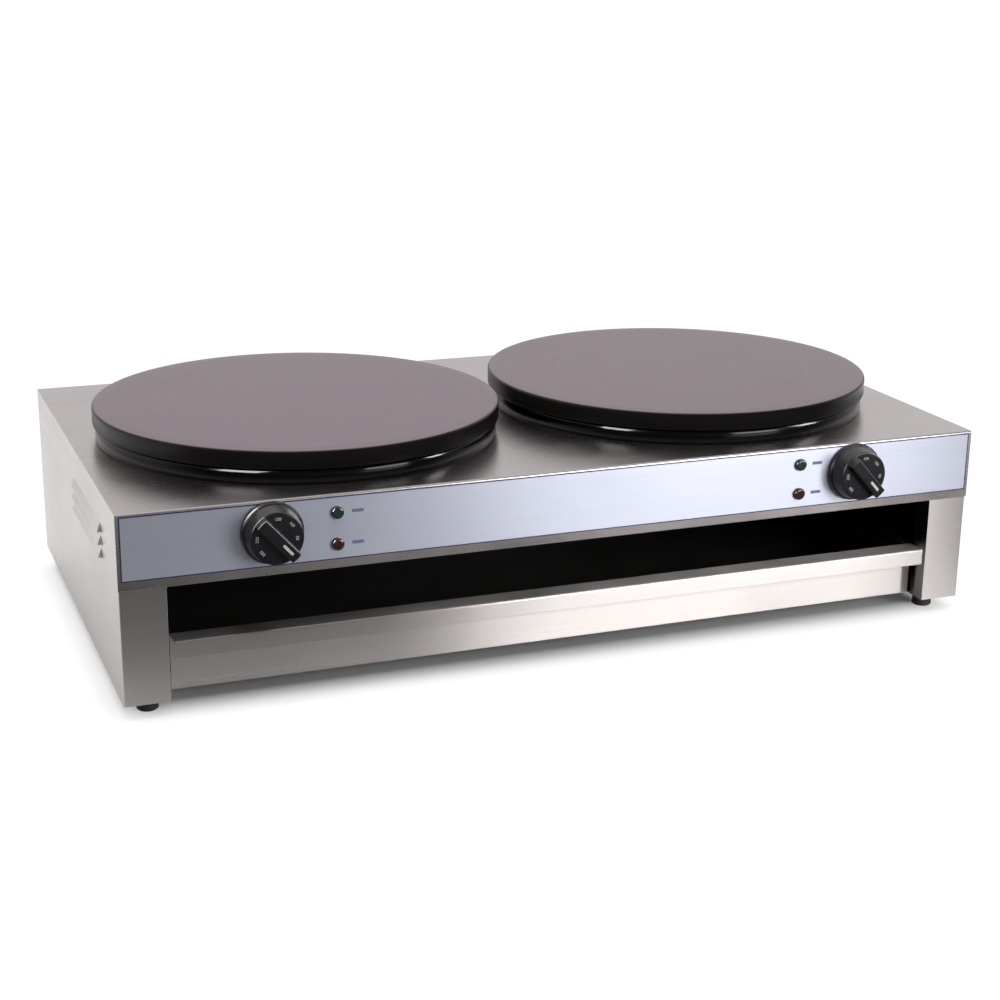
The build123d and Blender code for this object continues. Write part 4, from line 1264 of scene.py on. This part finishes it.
@dataclass
class FilmPrint:
    """Short printed bars beside the four lamps."""

    offset: float = 19.0 * MM
    length: float = 11.0 * MM
    height: float = 3.0 * MM
    thickness: float = 0.05 * MM
    roundness: float = 0.3
    corner_steps: int = 4

    def build(self) -> None:
        """Builds one bar to the right of each lamp."""
        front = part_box("control_film")[0].y
        size = (self.length, 2 * self.thickness, self.height)
        for lamp in (f"{colour}_{side.word}" for side in Side for colour in ("green", "red")):
            low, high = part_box(f"pilot_lens_{lamp}")
            place = Vector(((low.x + high.x) / 2 + self.offset, front, (low.z + high.z) / 2))
            bar = rounded_bar(place, size, self.height * self.roundness, self.corner_steps)
            dress(settle(bar, f"lamp_mark_{lamp}"), PRINT_BLUE, "base")


# ---------------- studio


@dataclass(frozen=True)
class Viewpoint:
    """Where the picture is taken from."""

    place: Triple = (-0.669, -1.73995, 0.675)
    azimuth: float = -21.31
    elevation: float = 17.3
    roll: float = 0.7
    lens: float = 66.8
    sensor: float = 36.0

    def build(self) -> None:
        """Makes the camera and sets it as the scene's."""
        turn, lift, tilt = (math.radians(angle)
                            for angle in (self.azimuth, self.elevation, self.roll))
        data = bpy.data.cameras.new("camera")
        data.lens = self.lens
        data.sensor_width = self.sensor
        camera = bpy.data.objects.new("camera", data)
        bpy.context.scene.collection.objects.link(camera)
        camera.matrix_world = turned(self.place, (turn, "Z"), (QUARTER - lift, "X"), (tilt, "Z"))
        bpy.context.scene.camera = camera


HIGHLIT = tuple(f"{piece}_{side.word}" for side in Side
                for piece in ("turned_plate_ring", "knob", "pilot_lens_green", "pilot_lens_red"))


@dataclass(frozen=True)
class Softbox:
    """One rectangular studio light, seen only in what it lights."""

    name: str
    place: Triple
    width: float
    height: float
    glow: float
    target: Triple = (0.0, 0.0, 0.12)
    on_matte: bool = True
    on_gloss: bool = True
    reach: Reach = Reach.ALL_BUT
    pieces: tuple[str, ...] = ()

    def build(self) -> None:
        """Makes the light, as bright per area as its glow says."""
        data = bpy.data.lights.new(self.name, "AREA")
        data.shape = "RECTANGLE"
        data.size = self.width
        data.size_y = self.height
        data.energy = self.glow * math.pi * self.width * self.height
        lamp = bpy.data.objects.new(self.name, data)
        bpy.context.scene.collection.objects.link(lamp)
        lamp.location = self.place
        aim = Vector(self.target) - Vector(self.place)
        lamp.rotation_euler = aim.to_track_quat("-Z", "Y").to_euler()
        lamp.visible_camera = False
        lamp.visible_diffuse = self.on_matte
        lamp.visible_glossy = self.on_gloss
        if self.pieces:
            named = bpy.data.collections.new(f"{self.name}_pieces")
            for name in self.pieces:
                named.objects.link(bpy.data.objects[name])
            for entry in named.collection_objects:
                entry.light_linking.link_state = self.reach.value
            lamp.light_linking.receiver_collection = named


@dataclass(frozen=True)
class Floor:
    """Pale floor. Mirrored in the object it darkens in front, as a table top does."""

    size: float = 30.0
    pale: float = 0.95
    white: float = 1.05
    footprint: Range = (0.40, 0.19)
    fade: float = 0.055
    near_edge: float = -0.24
    near: float = 0.80
    middle_edge: float = -0.38
    middle: float = 0.03
    far_edge: float = -0.45
    far: float = 0.02
    beyond_edges: Range = (-0.60, -0.85)
    beyond: float = 0.22
    behind: float = 0.86
    front_edge: float = -0.2
    rear_edge: float = 0.1
    beside_edges: Range = (0.42, 0.55)

    def build(self) -> None:
        """Makes the floor and its material."""
        select_only()
        bpy.ops.mesh.primitive_plane_add(size=self.size)
        plane = bpy.context.object
        plane.name = "studio_floor"
        material = bpy.data.materials.new("studio_floor")
        material.use_nodes = True
        self.paint(Graph(material.node_tree))
        plane.data.materials.append(material)

    def paint(self, graph: Graph) -> None:
        """Fills the material: white to the eye, graded where it is only mirrored.

        Args:
            graph: the material's graph.
        """
        graph.tree.nodes.clear()
        where = graph.add("TexCoord").outputs["Object"]
        across, along = graph.math("ABSOLUTE", graph.part(where, "X")), graph.part(where, "Y")
        past = [graph.math("MAXIMUM", graph.math("SUBTRACT", reach, limit), 0.0)
                for reach, limit in zip((across, graph.math("ABSOLUTE", along)), self.footprint)]
        ahead = graph.plus(
            graph.spread(along, self.middle, self.near, self.middle_edge, self.near_edge),
            graph.spread(along, self.far - self.middle, 0.0, self.far_edge, self.middle_edge))
        rear = graph.ramp(along, self.front_edge, self.rear_edge)
        beside = graph.times(graph.ramp(across, *self.beside_edges),
                             graph.ramp(along, self.middle_edge, self.front_edge))
        bright = graph.times(graph.math("MAXIMUM", rear, beside), self.behind)
        beyond = graph.spread(along, 0.0, self.beyond, *self.beyond_edges)
        mirrored = graph.math("MAXIMUM", graph.math("MAXIMUM", ahead, beyond), bright)
        seen = graph.add("LightPath").outputs["Is Camera Ray"]
        tone = graph.add("CombineXYZ", {axis: mirrored for axis in range(3)}).outputs[0]
        matte = graph.add("BsdfDiffuse", {"Color": graph.mix(seen, tone, (self.pale,) * 3)})
        plain = graph.add("Emission", {"Strength": self.white})
        fade = graph.ramp(graph.distance(*past), 0.0, self.fade)
        both = graph.add("MixShader", {0: graph.times(seen, fade), 1: matte.outputs[0],
                                       2: plain.outputs[0]})
        graph.add("OutputMaterial", {"Surface": both.outputs[0]})


@dataclass(frozen=True)
class Surroundings:
    """The air: pale behind and above the object, dim low down in front of it."""

    pale: float = 0.72
    dim: float = 0.10
    overhead: float = 0.70
    white: float = 1.05
    dim_to: float = 70.0
    pale_from: float = 105.0
    low: float = 0.6
    high: float = 0.95

    def build(self) -> None:
        """Makes the world and its light."""
        world = bpy.data.worlds.new("surroundings")
        bpy.context.scene.world = world
        world.use_nodes = True
        graph = Graph(world.node_tree)
        graph.tree.nodes.clear()
        across, along, up = (graph.part(graph.add("TexCoord").outputs["Generated"], axis)
                             for axis in "XYZ")
        ahead = graph.times(along, -1.0)
        turn = graph.math("ABSOLUTE", graph.math("ARCTAN2", across, ahead))
        around = graph.spread(turn, self.dim, self.pale,
                              math.radians(self.dim_to), math.radians(self.pale_from))
        above = graph.spread(up, 0.0, self.overhead, self.low, self.high)
        air, plain = (graph.add("Background", {"Color": (1.0, 1.0, 1.0, 1.0), "Strength": strength})
                      for strength in (graph.math("MAXIMUM", around, above), self.white))
        seen = graph.add("LightPath").outputs["Is Camera Ray"]
        both = graph.add("MixShader", {0: seen, 1: air.outputs[0], 2: plain.outputs[0]})
        graph.add("OutputWorld", {"Surface": both.outputs[0]})


@dataclass(frozen=True)
class Studio:
    """Pale floor and surroundings, a wide softbox above and three lower ones."""

    softboxes: tuple[Softbox, ...] = (
        Softbox("softbox_above", (0.0, 0.1, 2.6), width=2.2, height=2.2, glow=4.0,
                on_gloss=False),
        Softbox("softbox_right", (0.815, -1.583, 0.42), width=0.81, height=0.78, glow=7.4,
                target=(0.015, 0.007, 0.12), pieces=("turned_plate_left", "turned_plate_right")),
        Softbox("softbox_left", (-0.80, -0.62, 0.60), width=0.35, height=0.70, glow=24.0,
                on_matte=False, reach=Reach.ONLY, pieces=HIGHLIT),
        Softbox("softbox_far_right", (1.30, -0.74, 0.60), width=0.30, height=0.60, glow=26.0,
                on_matte=False, reach=Reach.ONLY, pieces=HIGHLIT),
    )

    def build(self) -> None:
        """Makes the floor, the surroundings and the lights."""
        bpy.context.scene.view_settings.view_transform = "Standard"
        Floor().build()
        Surroundings().build()
        for softbox in self.softboxes:
            softbox.build()
            LOG.info("light %s", softbox.name)


# ---------------- the whole


def main() -> None:
    """Dresses the object, one sub-assembly after another, and builds the studio round it."""
    logging.basicConfig(level=logging.INFO, format="%(name)s: %(message)s")
    Viewpoint().build()
    slots = {part["node"]: part["material_slot"] for part in frame["record"]["subparts"]}
    PackedParts(frame["nodes"], slots).dress()
    for side in Side:
        Griddle(side).build()
        DialPrint(side).build()
    FilmPrint().build()
    RearScrews().build()
    Studio().build()


if __name__ == "__main__":
    main()
